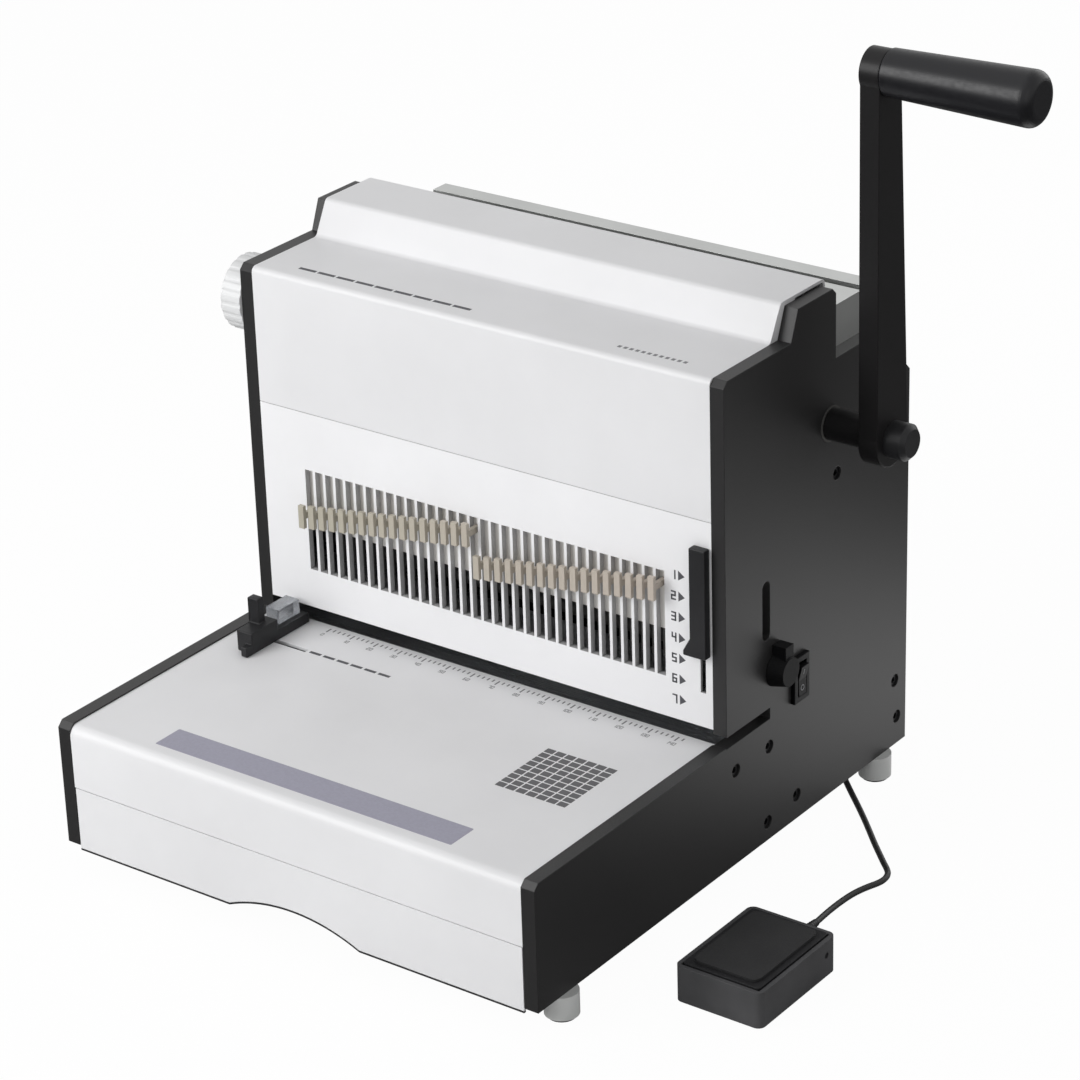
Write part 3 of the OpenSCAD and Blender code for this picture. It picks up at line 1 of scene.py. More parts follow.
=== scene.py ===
"""Looks of an electric wire binding machine with a closing lever and a foot pedal.

Metres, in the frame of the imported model: X to the operator's right, Y from the front to the back,
Z up from the table, with the origin in the middle of the four feet.
"""

import json
import math

import bmesh
import bpy
from mathutils import Matrix, Vector


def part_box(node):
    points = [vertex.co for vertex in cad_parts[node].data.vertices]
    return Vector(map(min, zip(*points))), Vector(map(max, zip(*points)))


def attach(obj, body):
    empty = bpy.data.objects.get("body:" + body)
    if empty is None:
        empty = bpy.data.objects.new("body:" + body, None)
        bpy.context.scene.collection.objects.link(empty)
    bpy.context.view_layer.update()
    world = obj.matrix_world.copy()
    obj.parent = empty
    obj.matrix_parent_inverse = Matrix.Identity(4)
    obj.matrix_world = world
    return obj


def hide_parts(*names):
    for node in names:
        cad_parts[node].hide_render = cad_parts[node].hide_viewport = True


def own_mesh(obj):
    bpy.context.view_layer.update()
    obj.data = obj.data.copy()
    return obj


MM = 0.001

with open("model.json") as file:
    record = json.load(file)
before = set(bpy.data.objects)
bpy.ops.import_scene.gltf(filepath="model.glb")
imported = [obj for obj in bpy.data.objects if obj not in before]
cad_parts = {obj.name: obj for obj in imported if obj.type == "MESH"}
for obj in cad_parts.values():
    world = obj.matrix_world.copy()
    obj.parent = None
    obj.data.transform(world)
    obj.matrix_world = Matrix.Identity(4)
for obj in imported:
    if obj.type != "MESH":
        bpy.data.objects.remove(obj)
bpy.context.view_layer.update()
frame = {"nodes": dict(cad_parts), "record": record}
nodes = frame["nodes"]

X_AXIS = Vector((1, 0, 0))
Y_AXIS = Vector((0, 1, 0))
Z_AXIS = Vector((0, 0, 1))


# Camera

CAMERA_TARGET = Vector((0.0723, -0.038, 0.2310))
CAMERA_DISTANCE = 2.3183
CAMERA_AZIMUTH = math.radians(37.008)
CAMERA_ELEVATION = math.radians(25.001)
CAMERA_ROLL = math.radians(-1.847)
CAMERA_LENS_MM = 125.334
CAMERA_SENSOR_MM = 36
CAMERA_REACH = 50


def add_camera():
    """A camera at the photograph's viewing angle, with a slight roll."""
    flat = math.cos(CAMERA_ELEVATION)
    back = Vector((
        math.sin(CAMERA_AZIMUTH) * flat,
        -math.cos(CAMERA_AZIMUTH) * flat,
        math.sin(CAMERA_ELEVATION),
    ))
    level = Z_AXIS.cross(back).normalized()
    upright = back.cross(level)
    right = level * math.cos(CAMERA_ROLL) + upright * math.sin(CAMERA_ROLL)
    up = upright * math.cos(CAMERA_ROLL) - level * math.sin(CAMERA_ROLL)
    data = bpy.data.cameras.new("camera")
    data.lens = CAMERA_LENS_MM
    data.sensor_width = CAMERA_SENSOR_MM
    data.clip_end = CAMERA_REACH
    camera = bpy.data.objects.new("camera", data)
    turn = Matrix((right, up, back)).transposed().to_4x4()
    camera.matrix_world = Matrix.Translation(CAMERA_TARGET + back * CAMERA_DISTANCE) @ turn
    bpy.context.scene.collection.objects.link(camera)
    bpy.context.scene.camera = camera


# Light

# Soft boxes: name, place, watts and width
LAMPS = (
    ("key", (-1.05, -1.8, 1.28), 32.5, 1.3),
    ("fill", (2.2, -1.2, 1.3), 4, 1.6),
    ("top", (-0.2, -0.7, 2.1), 4, 2.0),
    ("back", (0.4, 2.0, 1.1), 8, 1.6),
)
WHITE = (1, 1, 1, 1)
AMBIENT = 0.36
FLOOR_WIDTH = 12.0
FLOOR_COLOUR = (0.9, 0.9, 0.9, 1)
FLOOR_GLOW = 0.97
# Brightness of the studio in glossy surfaces: its walls, and the table near to and far from its lit place
GLOSS_WALLS = 0.85
GLOSS_TABLE_NEAR, GLOSS_TABLE_FAR = 1.5, 0.12
LIT_PLACE = (0.345, 0.305, 0)
LIT_NEAR, LIT_FAR = 0.05, 0.31


def add_lamp(name, place, watts, width):
    """A square soft box that looks at the middle of the machine."""
    data = bpy.data.lights.new(name, "AREA")
    data.energy = watts
    data.size = width
    lamp = bpy.data.objects.new(name, data)
    lamp.location = place
    aim = CAMERA_TARGET - Vector(place)
    lamp.rotation_euler = aim.to_track_quat("-Z", "Y").to_euler()
    bpy.context.scene.collection.objects.link(lamp)


def combine(tree, operation, *values):
    """A Math node's result on its values, each a number or an output."""
    node = tree.nodes.new("ShaderNodeMath")
    node.operation = operation
    for socket, value in zip(node.inputs, values):
        if isinstance(value, float):
            socket.default_value = value
        else:
            tree.links.new(value, socket)
    return node.outputs[0]


def spread(tree, value, source, target, curve="LINEAR"):
    """A value between the ends of the source range, carried over to the target range."""
    node = tree.nodes.new("ShaderNodeMapRange")
    node.interpolation_type = curve
    for socket, number in zip(("From Min", "From Max", "To Min", "To Max"), (*source, *target)):
        node.inputs[socket].default_value = number
    tree.links.new(value, node.inputs["Value"])
    return node.outputs["Result"]


def seen_rays(tree, gloss):
    """1 for the rays that show the studio, and the brightness they find: 1, or gloss on glossy surfaces."""
    path = tree.nodes.new("ShaderNodeLightPath")
    eye = combine(tree, "MAXIMUM", path.outputs["Is Camera Ray"], path.outputs["Is Transmission Ray"])
    glossy = path.outputs["Is Glossy Ray"]
    shown = combine(tree, "MAXIMUM", eye, glossy)
    brightness = combine(tree, "MAXIMUM", eye, combine(tree, "MULTIPLY", glossy, gloss))
    return shown, brightness


def mix_into(tree, output, share, first, second):
    """Sends a mix of two shaders to an output node."""
    mix = tree.nodes.new("ShaderNodeMixShader")
    tree.links.new(share, mix.inputs["Fac"])
    tree.links.new(first.outputs[0], mix.inputs[1])
    tree.links.new(second.outputs[0], mix.inputs[2])
    tree.links.new(mix.outputs[0], tree.nodes[output].inputs["Surface"])


def add_world():
    """White where it is seen, and a weaker even light on the object."""
    world = bpy.data.worlds.new("studio")
    bpy.context.scene.world = world
    world.use_nodes = True
    tree = world.node_tree
    lit = tree.nodes["Background"]
    lit.inputs["Strength"].default_value = AMBIENT
    lit.inputs["Color"].default_value = WHITE
    seen = tree.nodes.new("ShaderNodeBackground")
    seen.inputs["Color"].default_value = WHITE
    shown, brightness = seen_rays(tree, GLOSS_WALLS)
    tree.links.new(brightness, seen.inputs["Strength"])
    mix_into(tree, "World Output", shown, lit, seen)


def table_gloss(tree):
    """The table's brightness in gloss, which falls off from its lit place."""
    away = tree.nodes.new("ShaderNodeVectorMath")
    away.operation = "DISTANCE"
    away.inputs[1].default_value = LIT_PLACE
    tree.links.new(tree.nodes.new("ShaderNodeTexCoord").outputs["Object"], away.inputs[0])
    return spread(
        tree, away.outputs["Value"], (LIT_NEAR, LIT_FAR), (GLOSS_TABLE_NEAR, GLOSS_TABLE_FAR), "SMOOTHSTEP"
    )


def add_floor():
    """A pale table top that stays white to the eye but keeps a faint shadow."""
    half = FLOOR_WIDTH / 2
    mesh = bpy.data.meshes.new("floor")
    corners = [(-half, -half, 0), (half, -half, 0), (half, half, 0), (-half, half, 0)]
    mesh.from_pydata(corners, [], [(0, 1, 2, 3)])
    floor = bpy.data.objects.new("floor", mesh)
    bpy.context.scene.collection.objects.link(floor)
    material = bpy.data.materials.new("floor")
    material.use_nodes = True
    tree = material.node_tree
    tree.nodes.remove(tree.nodes["Principled BSDF"])
    matte = tree.nodes.new("ShaderNodeBsdfDiffuse")
    matte.inputs["Color"].default_value = FLOOR_COLOUR
    glow = tree.nodes.new("ShaderNodeEmission")
    glow.inputs["Color"].default_value = WHITE
    shown, brightness = seen_rays(tree, table_gloss(tree))
    tree.links.new(brightness, glow.inputs["Strength"])
    mix_into(tree, "Material Output", combine(tree, "MULTIPLY", shown, FLOOR_GLOW), matte, glow)
    mesh.materials.append(material)


# Materials

# Most values of a noise texture lie in this range
NOISE_RANGE = (0.3, 0.7)
# Grains to the metre: a finish's clouds, a powder coat's orange peel, and the streaks of ground metal
COAT_CLOUDS, STEEL_CLOUDS, PLASTIC_CLOUDS = 9, 25, 30
COAT_SPECKS = 1500
STEEL_STREAKS = 2600
# Half the width of the row of pull tabs
TAB_ROW_HALF = 140 * MM


class Finish:
    """One material on a Principled shader, with textures in the object's own metres."""

    def __init__(self, name, **values):
        self.material = bpy.data.materials.new(name)
        self.material.use_nodes = True
        self.tree = self.material.node_tree
        self.shader = self.tree.nodes["Principled BSDF"]
        for socket, value in values.items():
            self.shader.inputs[socket.replace("_", " ")].default_value = value
        self.place = self.tree.nodes.new("ShaderNodeTexCoord").outputs["Object"]

    def link(self, output, socket):
        self.tree.links.new(output, self.shader.inputs[socket])

    def noise(self, scale, detail=3, stretch=(1, 1, 1)):
        """Noise with about `scale` grains to the metre, drawn out along an axis where stretch is small."""
        mapping = self.tree.nodes.new("ShaderNodeMapping")
        mapping.inputs["Scale"].default_value = stretch
        self.tree.links.new(self.place, mapping.inputs["Vector"])
        noise = self.tree.nodes.new("ShaderNodeTexNoise")
        noise.inputs["Scale"].default_value = scale
        noise.inputs["Detail"].default_value = detail
        self.tree.links.new(mapping.outputs["Vector"], noise.inputs["Vector"])
        return noise.outputs["Fac"]

    def split(self, vector):
        """A vector's three parts."""
        node = self.tree.nodes.new("ShaderNodeSeparateXYZ")
        self.tree.links.new(vector, node.inputs[0])
        return node.outputs

    def blend(self, value, first, second):
        """The colour between first, at the low end of the noise range, and second, at its high end."""
        ramp = self.tree.nodes.new("ShaderNodeValToRGB")
        for stop, place, colour in zip(ramp.color_ramp.elements, NOISE_RANGE, (first, second)):
            stop.position = place
            stop.color = (*colour, 1)
        self.tree.links.new(value, ramp.inputs["Fac"])
        return ramp.outputs["Color"]

    def mottle(self, noise, colour, darkest, lightest):
        """The colour times a share that the noise moves between two limits."""
        return self.blend(noise, shade(colour, darkest), shade(colour, lightest))

    def roughen(self, noise, low, high):
        """Gives the shader a roughness that the noise moves between two limits."""
        self.link(spread(self.tree, noise, NOISE_RANGE, (low, high)), "Roughness")

    def relief(self, height, depth, strength, round_edges=0.0):
        """Bumps of that depth in metres, over edges that look rounded by a small radius."""
        bump = self.tree.nodes.new("ShaderNodeBump")
        bump.inputs["Strength"].default_value = strength
        bump.inputs["Distance"].default_value = depth
        self.tree.links.new(height, bump.inputs["Height"])
        if round_edges:
            edge = self.tree.nodes.new("ShaderNodeBevel")
            edge.samples = 4
            edge.inputs["Radius"].default_value = round_edges
            self.tree.links.new(edge.outputs["Normal"], bump.inputs["Normal"])
        self.link(bump.outputs["Normal"], "Normal")


def shade(colour, factor):
    """The colour made lighter or darker."""
    return tuple(min(1, c * factor) for c in colour)


def coat_colour(finish, colour):
    """A powder coat's colour, which is faintly cloudy."""
    return finish.mottle(finish.noise(COAT_CLOUDS, detail=4), colour, 0.965, 1.035)


def powder_coat(name, colour, roughness, specular, grain_mm, edge_mm):
    """Satin powder coat: a fine orange-peel grain and a faint cloudiness in colour and gloss."""
    finish = Finish(name, Specular_IOR_Level=specular)
    speck = finish.noise(COAT_SPECKS, detail=2)
    finish.link(coat_colour(finish, colour), "Base Color")
    finish.roughen(speck, roughness - 0.05, roughness + 0.05)
    finish.relief(speck, grain_mm * MM, 0.5, edge_mm * MM)
    return finish.material


def cut_panel(name, face, edge):
    """Powder coat on the faces of a panel that look to the front and back, and painted shade, a flat grey, on
    its slot walls and other edges.
    """
    finish = Finish(name, Specular_IOR_Level=0.4, Roughness=0.42)
    geometry = finish.tree.nodes.new("ShaderNodeNewGeometry")
    turned = finish.tree.nodes.new("ShaderNodeVectorTransform")
    turned.vector_type = "NORMAL"
    turned.convert_from = "WORLD"
    turned.convert_to = "OBJECT"
    finish.tree.links.new(geometry.outputs["True Normal"], turned.inputs["Vector"])
    # Painted shade: where the surface does not face along Y, on the slot walls and edges, the grey stands in
    # for their shade
    facing = combine(finish.tree, "ABSOLUTE", finish.split(turned.outputs["Vector"])["Y"])
    speck = finish.noise(COAT_SPECKS, detail=2)
    mix = finish.tree.nodes.new("ShaderNodeMix")
    mix.data_type = "RGBA"
    finish.tree.links.new(facing, mix.inputs["Factor"])
    finish.tree.links.new(finish.mottle(speck, edge, 0.9, 1.1), mix.inputs["A"])
    finish.tree.links.new(coat_colour(finish, face), mix.inputs["B"])
    finish.link(mix.outputs["Result"], "Base Color")
    finish.relief(speck, 0.035 * MM, 0.5)
    return finish.material


def ground_steel(name, colour, roughness, stretch):
    """Ground or brushed metal: fine streaks along one axis."""
    finish = Finish(name, Metallic=1.0)
    streak = finish.noise(STEEL_STREAKS, stretch=stretch)
    cloud = finish.noise(STEEL_CLOUDS, detail=4)
    finish.link(finish.mottle(cloud, colour, 0.95, 1.04), "Base Color")
    finish.roughen(streak, roughness - 0.07, roughness + 0.09)
    finish.relief(streak, 0.02 * MM, 0.15, 0.3 * MM)
    return finish.material


def moulded(name, colour, roughness, specular, grain_mm, depth_mm):
    """Moulded plastic or rubber with an eroded texture of that grain size and depth."""
    finish = Finish(name, Specular_IOR_Level=specular)
    grain = finish.noise(1 / (grain_mm * MM), detail=2)
    finish.link(finish.mottle(finish.noise(PLASTIC_CLOUDS), colour, 0.85, 1.15), "Base Color")
    finish.roughen(grain, roughness - 0.06, roughness + 0.06)
    finish.relief(grain, depth_mm * MM, 0.6, 0.5 * MM)
    return finish.material


def tab_plastic(name, left, right):
    """The pull tabs' plastic: greener on the left of the row, pinker on the right."""
    finish = Finish(name, Specular_IOR_Level=0.4)
    across = finish.split(finish.place)["X"]
    side = spread(finish.tree, across, (-TAB_ROW_HALF, TAB_ROW_HALF), NOISE_RANGE)
    grain = finish.noise(700, detail=2)
    finish.link(finish.blend(side, left, right), "Base Color")
    finish.roughen(grain, 0.38, 0.5)
    finish.relief(grain, 0.03 * MM, 0.5, 0.4 * MM)
    return finish.material


def clear_plastic(name, colour):
    """Smoke-tinted clear plastic with faint scuffs."""
    finish = Finish(name, Transmission_Weight=0.7, IOR=1.49)
    scuff = finish.noise(400, detail=4, stretch=(1, 0.1, 1))
    finish.link(finish.mottle(scuff, colour, 0.92, 1.05), "Base Color")
    finish.link(spread(finish.tree, scuff, (0.4, 0.8), (0.12, 0.3)), "Roughness")
    return finish.material


def ink(name, colour):
    """Screen-printed ink, a little uneven in its cover."""
    finish = Finish(name, Specular_IOR_Level=0.3)
    speck = finish.noise(600)
    finish.link(finish.mottle(speck, colour, 0.95, 1.06), "Base Color")
    finish.roughen(speck, 0.5, 0.62)
    return finish.material


ALONG_X = (0.003, 1, 1)
ALONG_Z = (1, 1, 0.003)

# Powder coats by slot: colour, roughness, specular level, depth of the grain and rounding of edges in mm
COATS = {
    "plate_black": ((0.020, 0.0196, 0.020), 0.44, 0.40, 0.05, 0.8),
    "cover_white": ((0.80, 0.80, 0.812), 0.42, 0.4, 0.035, 0.5),
    "rear_black": ((0.020, 0.0196, 0.020), 0.44, 0.3, 0.05, 0.6),
    "lever_black": ((0.013, 0.0125, 0.013), 0.36, 0.2, 0.03, 1.2),
    "motor_black": ((0.03, 0.03, 0.033), 0.4, 0.4, 0.03, 0.5),
    "screw_black": ((0.010, 0.010, 0.011), 0.4, 0.25, 0.02, 0.3),
    "ram_grey": ((0.84, 0.82, 0.785), 0.5, 0.2, 0.03, 0.3),
    "pin_steel": ((0.10, 0.098, 0.094), 0.6, 0.2, 0.01, 0.2),
    "foot_grey": ((0.63, 0.64, 0.63), 0.34, 0.5, 0.02, 0.5),
    "knob_silver": ((0.74, 0.745, 0.75), 0.38, 0.5, 0.02, 0.8),
}
# Ground metals by slot: colour, roughness and the way of the streaks
METALS = {
    "steel": ((0.50, 0.51, 0.52), 0.32, ALONG_X),
    "jaw_steel": ((0.56, 0.57, 0.56), 0.38, ALONG_X),
    "zinc_sheet": ((0.58, 0.59, 0.60), 0.42, ALONG_X),
    "gear_steel": ((0.48, 0.46, 0.41), 0.35, ALONG_Z),
    "bronze": ((0.60, 0.42, 0.20), 0.35, ALONG_X),
    "gearbox_grey": ((0.42, 0.43, 0.45), 0.55, ALONG_Z),
}
# Plastics and rubber by slot: colour, roughness, specular level, size and depth of the grain in mm
PLASTICS = {
    "black_plastic": ((0.018, 0.018, 0.0195), 0.42, 0.25, 0.5, 0.04),
    "pedal_plastic": ((0.070, 0.070, 0.073), 0.45, 0.35, 0.5, 0.04),
    "switch_plastic": ((0.003, 0.003, 0.0035), 0.4, 0.1, 1.2, 0.01),
    "grip_plastic": ((0.010, 0.010, 0.012), 0.34, 0.3, 2.5, 0.015),
    "pad_rubber": ((0.021, 0.021, 0.022), 0.62, 0.3, 0.7, 0.08),
    "cord_black": ((0.02, 0.02, 0.02), 0.5, 0.4, 0.6, 0.03),
    "board_green": ((0.12, 0.14, 0.13), 0.5, 0.5, 0.8, 0.03),
}

SLOT_FINISHES = {
    **{slot: powder_coat(slot, *values) for slot, values in COATS.items()},
    **{slot: ground_steel(slot, *values) for slot, values in METALS.items()},
    **{slot: moulded(slot, *values) for slot, values in PLASTICS.items()},
    "tab_tan": tab_plastic("tab_tan", (0.46, 0.43, 0.35), (0.51, 0.45, 0.39)),
    "window_clear": clear_plastic("window_clear", (0.62, 0.64, 0.67)),
}

INK_DARK = ink("ink_dark", (0.09, 0.09, 0.10))
INK_CHART = ink("ink_chart", (0.13, 0.13, 0.135))
INK_GREY = ink("ink_grey", (0.22, 0.22, 0.23))
INK_SLATE = ink("ink_slate", (0.36, 0.355, 0.43))

# Nodes with a variant of their slot's finish: painted shade on the punch panel's slot walls, a duller knob,
# and oiled or darkened metal
NODE_FINISHES = {
    "punch_panel": cut_panel("cut_panel", (0.89, 0.89, 0.903), (0.45, 0.45, 0.455)),
    "margin_knob": moulded("dull_knob", (0.006, 0.006, 0.0065), 0.55, 0.12, 0.5, 0.04),
    "crankshaft": SLOT_FINISHES["pin_steel"],
    "tie_rod": SLOT_FINISHES["pin_steel"],
    "closer_bushes": SLOT_FINISHES["pin_steel"],
    "margin_shaft": SLOT_FINISHES["pin_steel"],
}


def finish_nodes():
    """Gives each CAD node the finish of its material slot, or its own variant of it."""
    for part in frame["record"]["subparts"]:
        materials = nodes[part["node"]].data.materials
        materials.clear()
        materials.append(NODE_FINISHES.get(part["node"], SLOT_FINISHES[part["material_slot"]]))


# Width in millimetres of the rounding on the edges of moulded and turned nodes
SOFT_EDGES_MM = {
    "pedal_case": 1.6, "pedal_treadle": 0.8, "treadle_mat": 0.7, "margin_knob": 1.2, "gap_knob": 1.5,
    "size_slider": 1.0, "edge_guide": 0.8, "hub_cap": 0.8, "switch_bezel": 0.8, "feet": 1.0,
}
SHARP_ANGLE = math.radians(40)
# Corners closer than this are one corner
WELD_REACH = 0.001 * MM


def soften_edges():
    """Rounds the sharp edges of nodes that are moulded or turned."""
    for name, width in SOFT_EDGES_MM.items():
        node = nodes[name]
        weld = node.modifiers.new("weld", "WELD")
        weld.merge_threshold = WELD_REACH
        bevel = node.modifiers.new("bevel", "BEVEL")
        bevel.width = width * MM
        bevel.segments = 3
        bevel.limit_method = "ANGLE"
        bevel.angle_limit = SHARP_ANGLE
        bevel.use_clamp_overlap = True
        node.modifiers.new("normals", "WEIGHTED_NORMAL")


# Mesh helpers


def add_piece(name, mesh_data, material, body):
    """An object from a bmesh, riding on a body, with the given material."""
    mesh = bpy.data.meshes.new(name)
    bmesh.ops.recalc_face_normals(mesh_data, faces=mesh_data.faces)
    mesh_data.to_mesh(mesh)
    mesh_data.free()
    mesh.materials.append(material)
    piece = bpy.data.objects.new(name, mesh)
    bpy.context.scene.collection.objects.link(piece)
    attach(piece, body)
    return piece


def add_prism(mesh_data, outline, origin, right, up, height):
    """A flat prism on a face: its outline runs along right and up, and it rises along their normal."""
    normal = right.cross(up)
    low = [mesh_data.verts.new(origin + right * a + up * b) for a, b in outline]
    high = [mesh_data.verts.new(v.co + normal * height) for v in low]
    mesh_data.faces.new(low)
    mesh_data.faces.new(high)
    for i in range(len(low)):
        j = (i + 1) % len(low)
        mesh_data.faces.new((low[i], low[j], high[j], high[i]))


def weld_corners(mesh_data):
    """Joins prisms at the corners that they share."""
    bmesh.ops.remove_doubles(mesh_data, verts=mesh_data.verts, dist=WELD_REACH)


def on_circle(degrees, radius=1.0):
    """A point at an angle on a circle around the origin."""
    angle = math.radians(degrees)
    return radius * math.cos(angle), radius * math.sin(angle)


def bar(a0, a1, b0, b1):
    """A rectangle's outline."""
    return [(a0, b0), (a1, b0), (a1, b1), (a0, b1)]


def rounded_bar(a0, a1, b0, b1, r, steps=5):
    """A rectangle's outline with round corners."""
    corners = [(a1 - r, b0 + r, -90), (a1 - r, b1 - r, 0), (a0 + r, b1 - r, 90), (a0 + r, b0 + r, 180)]
    outline = []
    for a, b, start in corners:
        for k in range(steps + 1):
            da, db = on_circle(start + 90 * k / steps, r)
            outline.append((a + da, b + db))
    return outline


def add_tube(mesh_data, points, radii, sides):
    """A closed tube through points, with a radius at each."""
    rings = []
    for i, point in enumerate(points):
        run = (points[min(i + 1, len(points) - 1)] - points[max(i - 1, 0)]).normalized()
        side = run.cross(Z_AXIS).normalized()
        up = side.cross(run)
        ring = [on_circle(360 * k / sides, radii[i]) for k in range(sides)]
        rings.append([mesh_data.verts.new(point + side * a + up * b) for a, b in ring])
    for near, far in zip(rings, rings[1:]):
        for k in range(sides):
            face = mesh_data.faces.new((near[k], near[(k + 1) % sides], far[(k + 1) % sides], far[k]))
            face.smooth = True
    mesh_data.faces.new(rings[0])
    mesh_data.faces.new(rings[-1])


# Pedal cord

CORD_D = 4 * MM
CORD_EXIT = Vector((0.150, 0.175, 0.0))
# The cord's way from its exit, in millimetres: to the right, to the front, and height
CORD_ROUTE_MM = (
    (0, 0, 9), (10, 8.7, 9), (22, 19.1, 7), (34, 29.7, 4.6), (46, 40.4, 2.9),
    (58, 52, 2.2), (70, 64.4, 2.1), (82, 77.1, 2.1), (94, 89.3, 2.1), (101, 96.3, 2.1),
    (106.6, 101.8, 2.1), (109.6, 105.7, 2.1), (111.3, 110.2, 2.1), (111.7, 115, 2.1),
    (110.8, 119.8, 2.1), (108.4, 126.4, 2.1), (106.2, 133.4, 2.1), (104.6, 141.5, 2.1),
    (103.7, 152, 2.1), (103.9, 164, 2.6), (105.6, 176, 4.2), (108.5, 188, 7), (111.1, 200, 9.9),
    (112, 212, 11),
)
ROUTE_STEPS = 24
# The ribbed sleeves at the cord's ends, thick at the housing and with a thin wall at the far end
RELIEF_LEN = 24 * MM
RELIEF_RIBS = 7
RELIEF_D = 7.4 * MM
RELIEF_WALL = 0.4 * MM
RIB_DEPTH = 0.5 * MM
RELIEF_SIDES = 20


def cord_points():
    """The cord's route as points in the model's frame."""
    return [CORD_EXIT + Vector((a, -b, h)) * MM for a, b, h in CORD_ROUTE_MM]


def smooth_route(points, steps):
    """More points on a smooth curve through the given ones."""
    route = []
    for i in range(len(points) - 1):
        before = points[max(i - 1, 0)]
        after = points[min(i + 2, len(points) - 1)]
        start, end = points[i], points[i + 1]
        for k in range(steps):
            t = k / steps
            route.append(
                start * (2 * t**3 - 3 * t**2 + 1)
                + (end - before) / 2 * (t**3 - 2 * t**2 + t)
                + end * (3 * t**2 - 2 * t**3)
                + (after - start) / 2 * (t**3 - t**2)
            )
    return route + [points[-1]]


def add_relief(name, route):
    """A tapered, ribbed sleeve on the first stretch of a route."""
    points = []
    radii = []
    done = 0.0
    for here, there in zip(route, route[1:]):
        if done > RELIEF_LEN:
            break
        share = done / RELIEF_LEN
        rib = 0.5 + 0.5 * math.cos(2 * math.pi * RELIEF_RIBS * share)
        taper = RELIEF_D / 2 * (1 - share) + (CORD_D / 2 + RELIEF_WALL) * share
        points.append(here)
        radii.append(taper - RIB_DEPTH * rib)
        done += (there - here).length
    sleeve = bmesh.new()
    add_tube(sleeve, points, radii, RELIEF_SIDES)
    return add_piece(name, sleeve, SLOT_FINISHES["black_plastic"], "frame")


def add_pedal_cord():
    """The foot pedal's cord, from the gland under the base to the pedal, with its two sleeves."""
    points = cord_points()
    data = bpy.data.curves.new("pedal_lead", "CURVE")
    data.dimensions = "3D"
    data.bevel_depth = CORD_D / 2
    data.bevel_resolution = 5
    data.use_fill_caps = True
    data.resolution_u = 8
    spline = data.splines.new("BEZIER")
    spline.bezier_points.add(len(points) - 1)
    for knot, point in zip(spline.bezier_points, points):
        knot.co = point
        knot.handle_left_type = "AUTO"
        knot.handle_right_type = "AUTO"
    data.materials.append(SLOT_FINISHES["cord_black"])
    lead = bpy.data.objects.new("pedal_lead", data)
    bpy.context.scene.collection.objects.link(lead)
    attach(lead, "frame")
    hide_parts("pedal_cord")
    route = smooth_route(points, ROUTE_STEPS)
    sleeves = [add_relief("base_sleeve", route), add_relief("pedal_sleeve", route[::-1])]


# Pedal spring

SPRING_WIRE_D = 1.4 * MM
SPRING_TURNS = 5
TURN_STEPS = 24
WIRE_SIDES = 10


def add_pedal_spring():
    """The coil spring under the foot pedal's treadle, at one fixed length."""
    low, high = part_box("pedal_spring")
    middle = (low + high) / 2
    radius = (high.x - low.x - SPRING_WIRE_D) / 2
    start = Vector((middle.x, middle.y, low.z + SPRING_WIRE_D / 2))
    rise = high.z - low.z - SPRING_WIRE_D
    steps = TURN_STEPS * SPRING_TURNS
    points = [
        start + Vector((*on_circle(360 * k / TURN_STEPS, radius), rise * k / steps)) for k in range(steps + 1)
    ]
    coil = bmesh.new()
    add_tube(coil, points, [SPRING_WIRE_D / 2] * len(points), WIRE_SIDES)
    spring = add_piece("treadle_spring", coil, SLOT_FINISHES["steel"], "frame")
    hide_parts("pedal_spring")
    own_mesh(spring)


# Printed marks

PRINT_T = 0.06 * MM
# Height of the sloped step above the ledge
STEP_RISE = 23 * MM
# Where the marks are measured from: the machine's middle, and its front edge or the table
BASE_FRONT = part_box("base_cover")[0].y
COVER_ORIGIN = Vector((0, BASE_FRONT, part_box("base_cover")[1].z))
LEDGE_ORIGIN = Vector((0, BASE_FRONT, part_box("upper_cover")[1].z - STEP_RISE))
PANEL_ORIGIN = Vector((0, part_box("punch_panel")[0].y, 0))

# The seven strokes of a digit in a box one wide and two high: start, end
STROKES = (
    ((0, 2), (1, 2)), ((0, 1), (0, 2)), ((1, 1), (1, 2)), ((0, 1), (1, 1)),
    ((0, 0), (0, 1)), ((1, 0), (1, 1)), ((0, 0), (1, 0)),
)
DIGIT_STROKES = ("012456", "25", "02346", "02356", "1235", "01356", "013456", "025", "0123456", "012356")
# Pitch of a number's digits, in widths
DIGIT_PITCH = 1.6

BAND_HALF = 117 * MM
BAND_NEAR, BAND_FAR = 13 * MM, 36 * MM
BAND_ROUND = 1 * MM

RULE_START = -126 * MM
RULE_EDGE = 199.5 * MM
RULE_TICKS = 72
TICK_PITCH = 4 * MM
TICK_HALF = 0.55 * MM
TICK_LEN, LONG_TICK_LEN = 3.2 * MM, 5.5 * MM
LONG_TICK_EVERY = 5
RULE_NUMBER_STEP = 2
RULE_NUMBER_FOOT = 188.5 * MM
RULE_NUMBER_W, RULE_NUMBER_PEN = 1.5 * MM, 0.45 * MM

CHART_LEFT, CHART_NEAR = 94 * MM, 87 * MM
CHART_W, CHART_DEPTH = 54 * MM, 57 * MM
CHART_COLUMNS, CHART_ROWS = 7, 9
CELL_GAP, CELL_ROUND = 1.1 * MM, 0.4 * MM

# Rows of dashes in millimetres: start, length and pitch to the right, count, and the near and far edge
BASE_DASHES_MM = (-116.5, 9.3, 11.5, 6, 164.2, 166.8)
LEDGE_DASHES_MM = (-150, 13.8, 15.6, 9, 215.5, 218.5)
LEDGE_DOTS_MM = (101, 2.5, 4.4, 12, 215.5, 218.5)

